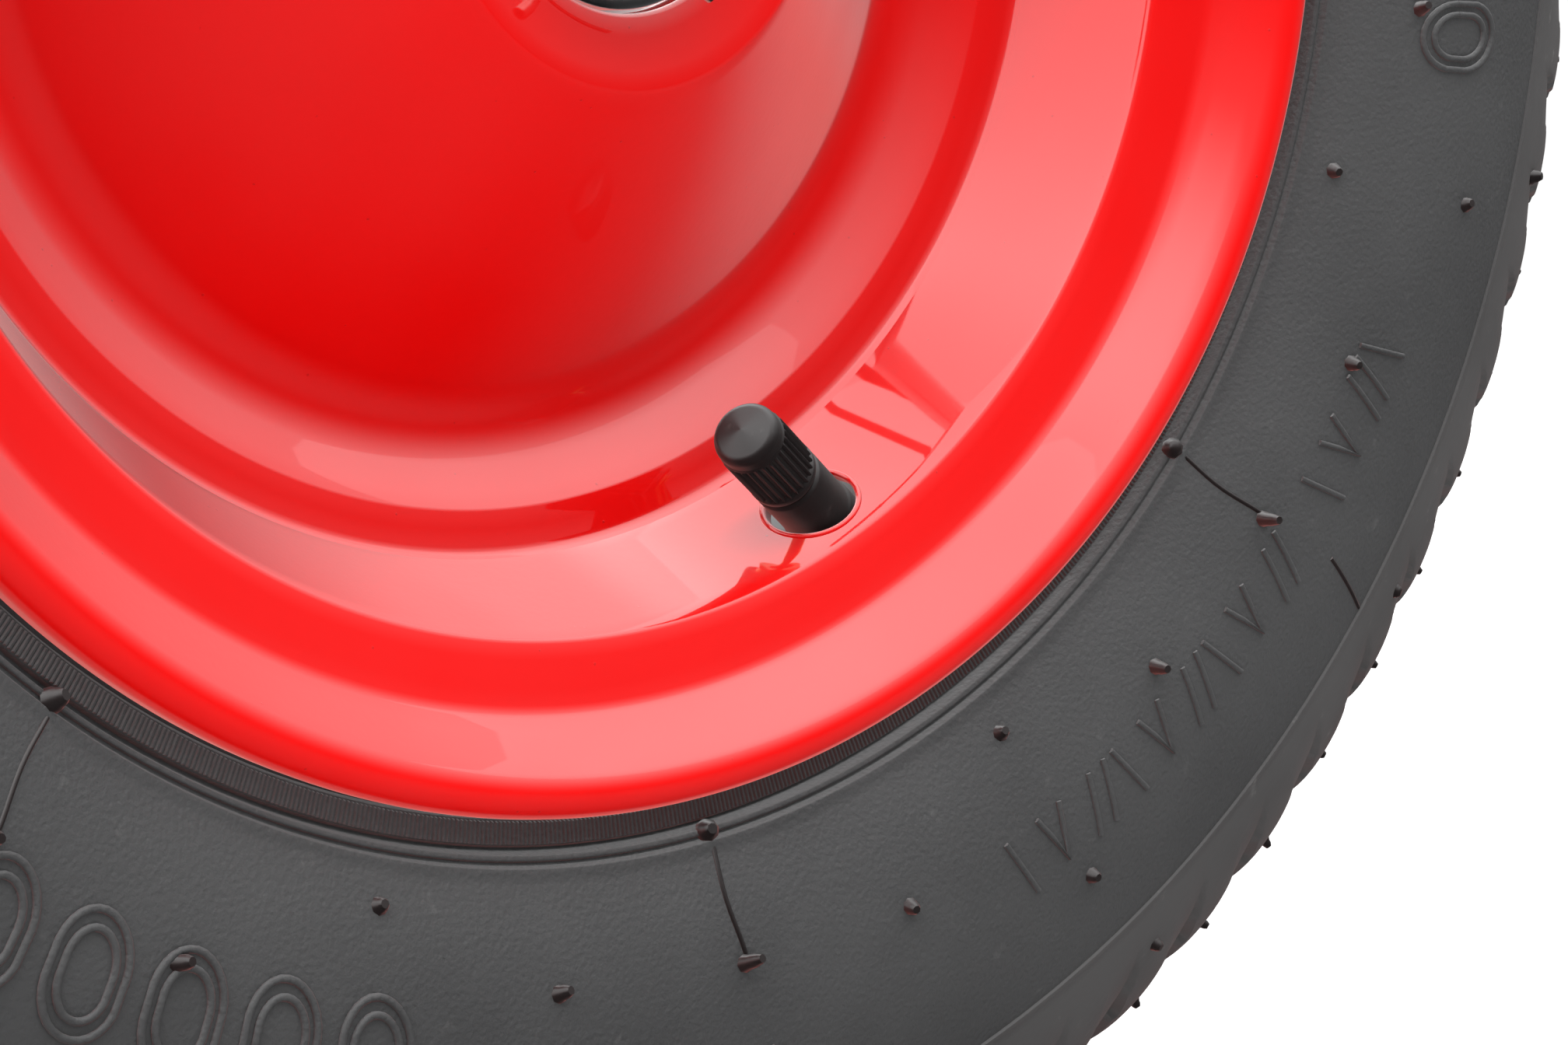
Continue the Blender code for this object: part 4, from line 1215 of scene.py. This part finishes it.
def makePlates():
    shape = frameShape
    x = shape["railX"]
    front = shape["railY"] - shape["railRadius"] - 0.3
    low, high = (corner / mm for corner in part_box("toe_gusset_right"))
    notch = 7.0
    gusset = plate("gusset", [
        (high.y, low.z + notch, 0), (high.y, high.z, 1.5), (high.y - notch, high.z, 3),
        (low.y, low.z + notch, 3),
        (low.y, low.z, 1.5), (high.y - notch, low.z, 0)], low.x, high.x)
    seams = []
    for way in (1, -1):
        beside = x + way * 2.2
        seams.append([(beside, y, low.z + 0.3) for y in np.linspace(low.y + 2, high.y - notch - 2, 20)])
        seams.append([(beside, high.y - 0.3, z) for z in np.linspace(low.z + notch + 2, high.z - 2, 20)])
    for way in (1, -1):
        seams.append([(x + way * 6.5, front - 0.6, z) for z in np.linspace(12, 66, 22)])
    bothSides(join("gusset", [gusset, welds("seams", seams, 1.9, 1.3, 8)]), "gusset", "root",
              ["toe_gusset"])
    low, high = (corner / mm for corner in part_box("axle_bracket_right"))
    eye = 28.0
    around = [(axleY + eye * math.cos(a), axleZ + eye * math.sin(a), 0)
              for a in np.linspace(-1.047, 1.047, 26)]
    bracket = plate("bracket", [(low.y, low.z, 2)] + around + [(low.y, high.z, 2)], low.x, high.x,
                    [(axleY, axleZ, 10.25)])
    seams = [[(x + way * 2.8, low.y - 0.1, z) for z in np.linspace(low.z + 2, high.z - 2, 90)]
             for way in (1, -1)]
    seams.append([(low.x - 0.1, axleY + 11.4 * math.cos(a), axleZ + 11.4 * math.sin(a))
                  for a in np.linspace(0, 2 * math.pi, 50)])
    bothSides(join("bracket", [bracket, welds("seams", seams, 2.0, 1.5, 9)]), "bracket", "root",
              ["axle_bracket"])
    low, high = (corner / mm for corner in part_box("stay_right"))
    foot = Vector((axleY, axleZ))
    top = Vector((shape["railY"] + shape["railRadius"] + 0.3, 560.0))
    run = (top - foot).normalized()
    square = Vector((run.y, -run.x)) * 11.0
    ends = [tuple(edge + run * ((top.x - edge.x) / run.x)) + (1,) for edge in (foot + square, foot - square)]
    turn = math.atan2(square.y, square.x)
    around = [(foot.x + 11 * math.cos(a), foot.y + 11 * math.sin(a), 0)
              for a in np.linspace(turn - math.pi, turn, 24)]
    stay = plate("stay", around + ends, low.x, high.x, [(axleY, axleZ, 10.25)])
    zLow, zHigh = sorted((ends[0][1], ends[1][1]))
    seams = [[(low.x + (0.2 if way < 0 else 3.8), top.x - 0.1, z) for z in np.linspace(zLow + 1, zHigh - 1, 26)]
             for way in (-1, 1)]
    stay = join("stay", [stay, welds("seams", seams, 1.8, 1.4, 10)])
    bothSides(stay, "stay", "root", ["stay"])


makeRails()
makeCrossbars()
makeToePlate()
makePlates()
print("frame made")

# floor and light
studio = {
    "floorTone": 0.4, "floorGlow": 0.4,
    "cameraWhite": 1.05,
    "ground": 0.01, "zenith": 3.6,  # sky radiance below the horizon and straight overhead
    "leftWall": 2.8,                # extra radiance of the wall on the left,
    "leftFrom": (0.66, 0.88),       # from this far up and round,
    "leftTop": (0.72, 0.97),        # gone at this height
    "rightGlow": 0.1, "rightFrom": (0.45, 0.95),
    "behindGlow": 0.8, "behindFrom": (0.1, 0.5), "behindTone": (1.0, 0.3, 0.27),
}
# softboxes: direction from the wheel as (azimuth, elevation), distance, size and radiance
softboxes = {
    "overhead": {"towards": (50, 80), "away": 2.4, "size": (3.0, 3.0), "radiance": 0.6},
}


def makeStage():
    paint = Paint("floorPaper", **{
        "Specular IOR Level": 0.1, "Emission Color": rgb(1, 1, 1), "Emission Strength": studio["floorGlow"]})
    tone = studio["floorTone"]
    cloud = paint.steps(paint.noise(3, 2.0), 0.3, 0.7)
    paint.put(paint.shader, "Base Color", paint.blend(cloud, rgb(*[tone] * 3), rgb(*[tone * 1.04] * 3)))
    paint.put(paint.shader, "Roughness", paint.steps(paint.noise(40, 3.0), 0.3, 0.7, 0.75, 0.85))
    paints["floor"] = paint.owner
    wide, lip = 12000, 4
    points = [(x * wide, y * wide, z) for z in (-lip, -0.2) for x, y in ((-1, -1), (1, -1), (1, 1), (-1, 1))]
    faces = [(3, 2, 1, 0), (4, 5, 6, 7), (0, 1, 5, 4), (1, 2, 6, 5), (2, 3, 7, 6), (3, 0, 4, 7)]
    floor = meshOf("floor", points, faces, "floor")
    floor.data.transform(Matrix.Scale(mm, 4))
    floor.visible_glossy = False


def makeSky():
    paint = Paint("studio", bpy.data.worlds, "Background")
    direction = paint.node("ShaderNodeTexCoord", out=0)
    outwards, rightwards, height = (
        paint.node("ShaderNodeSeparateXYZ", {}, {0: direction}, out=axis) for axis in range(3))
    sky = height.maths("MAXIMUM", height, 0.0) ** 2 * studio["zenith"] + studio["ground"]
    wall = paint.steps(height - rightwards * 0.8 - outwards * 0.6, *studio["leftFrom"])
    sky = sky + wall * (1 - paint.steps(height, *studio["leftTop"])) * studio["leftWall"]
    sky = sky + paint.steps(rightwards, *studio["rightFrom"]) * studio["rightGlow"]
    # below the horizon the lit enamel itself shows in the steep walls
    behind = paint.steps(0 - outwards, *studio["behindFrom"]) * (1 - paint.steps(height, -0.1, 0.2))
    sky = sky + behind * studio["behindGlow"]
    seen = paint.node("ShaderNodeLightPath", out=0)
    tone = paint.blend(behind * (1 - seen), rgb(1, 1, 1), rgb(*studio["behindTone"]))
    paint.put(paint.shader, "Color", tone)
    paint.put(paint.shader, "Strength", sky + seen * (studio["cameraWhite"] - sky))
    bpy.context.scene.world = paint.owner


def makeLights():
    middle = (wheelMiddle + Vector((beadPlane, 0, 0))) * mm
    for name, box in softboxes.items():
        data = bpy.data.lights.new(name, "AREA")
        data.shape = "RECTANGLE"
        data.size, data.size_y = box["size"]
        data.energy = box["radiance"] * data.size * data.size_y * 4
        lamp = bpy.data.objects.new(name, data)
        bpy.context.scene.collection.objects.link(lamp)
        azimuth, elevation = (math.radians(a) for a in box["towards"])
        towards = Vector((math.cos(elevation) * math.cos(azimuth), math.cos(elevation) * math.sin(azimuth),
                          math.sin(elevation)))
        lamp.matrix_world = Matrix.Translation(middle + towards * box["away"]) @ towards.to_track_quat(
            "Z", "Y").to_matrix().to_4x4()


makeStage()
makeSky()
makeLights()
print("everything made")
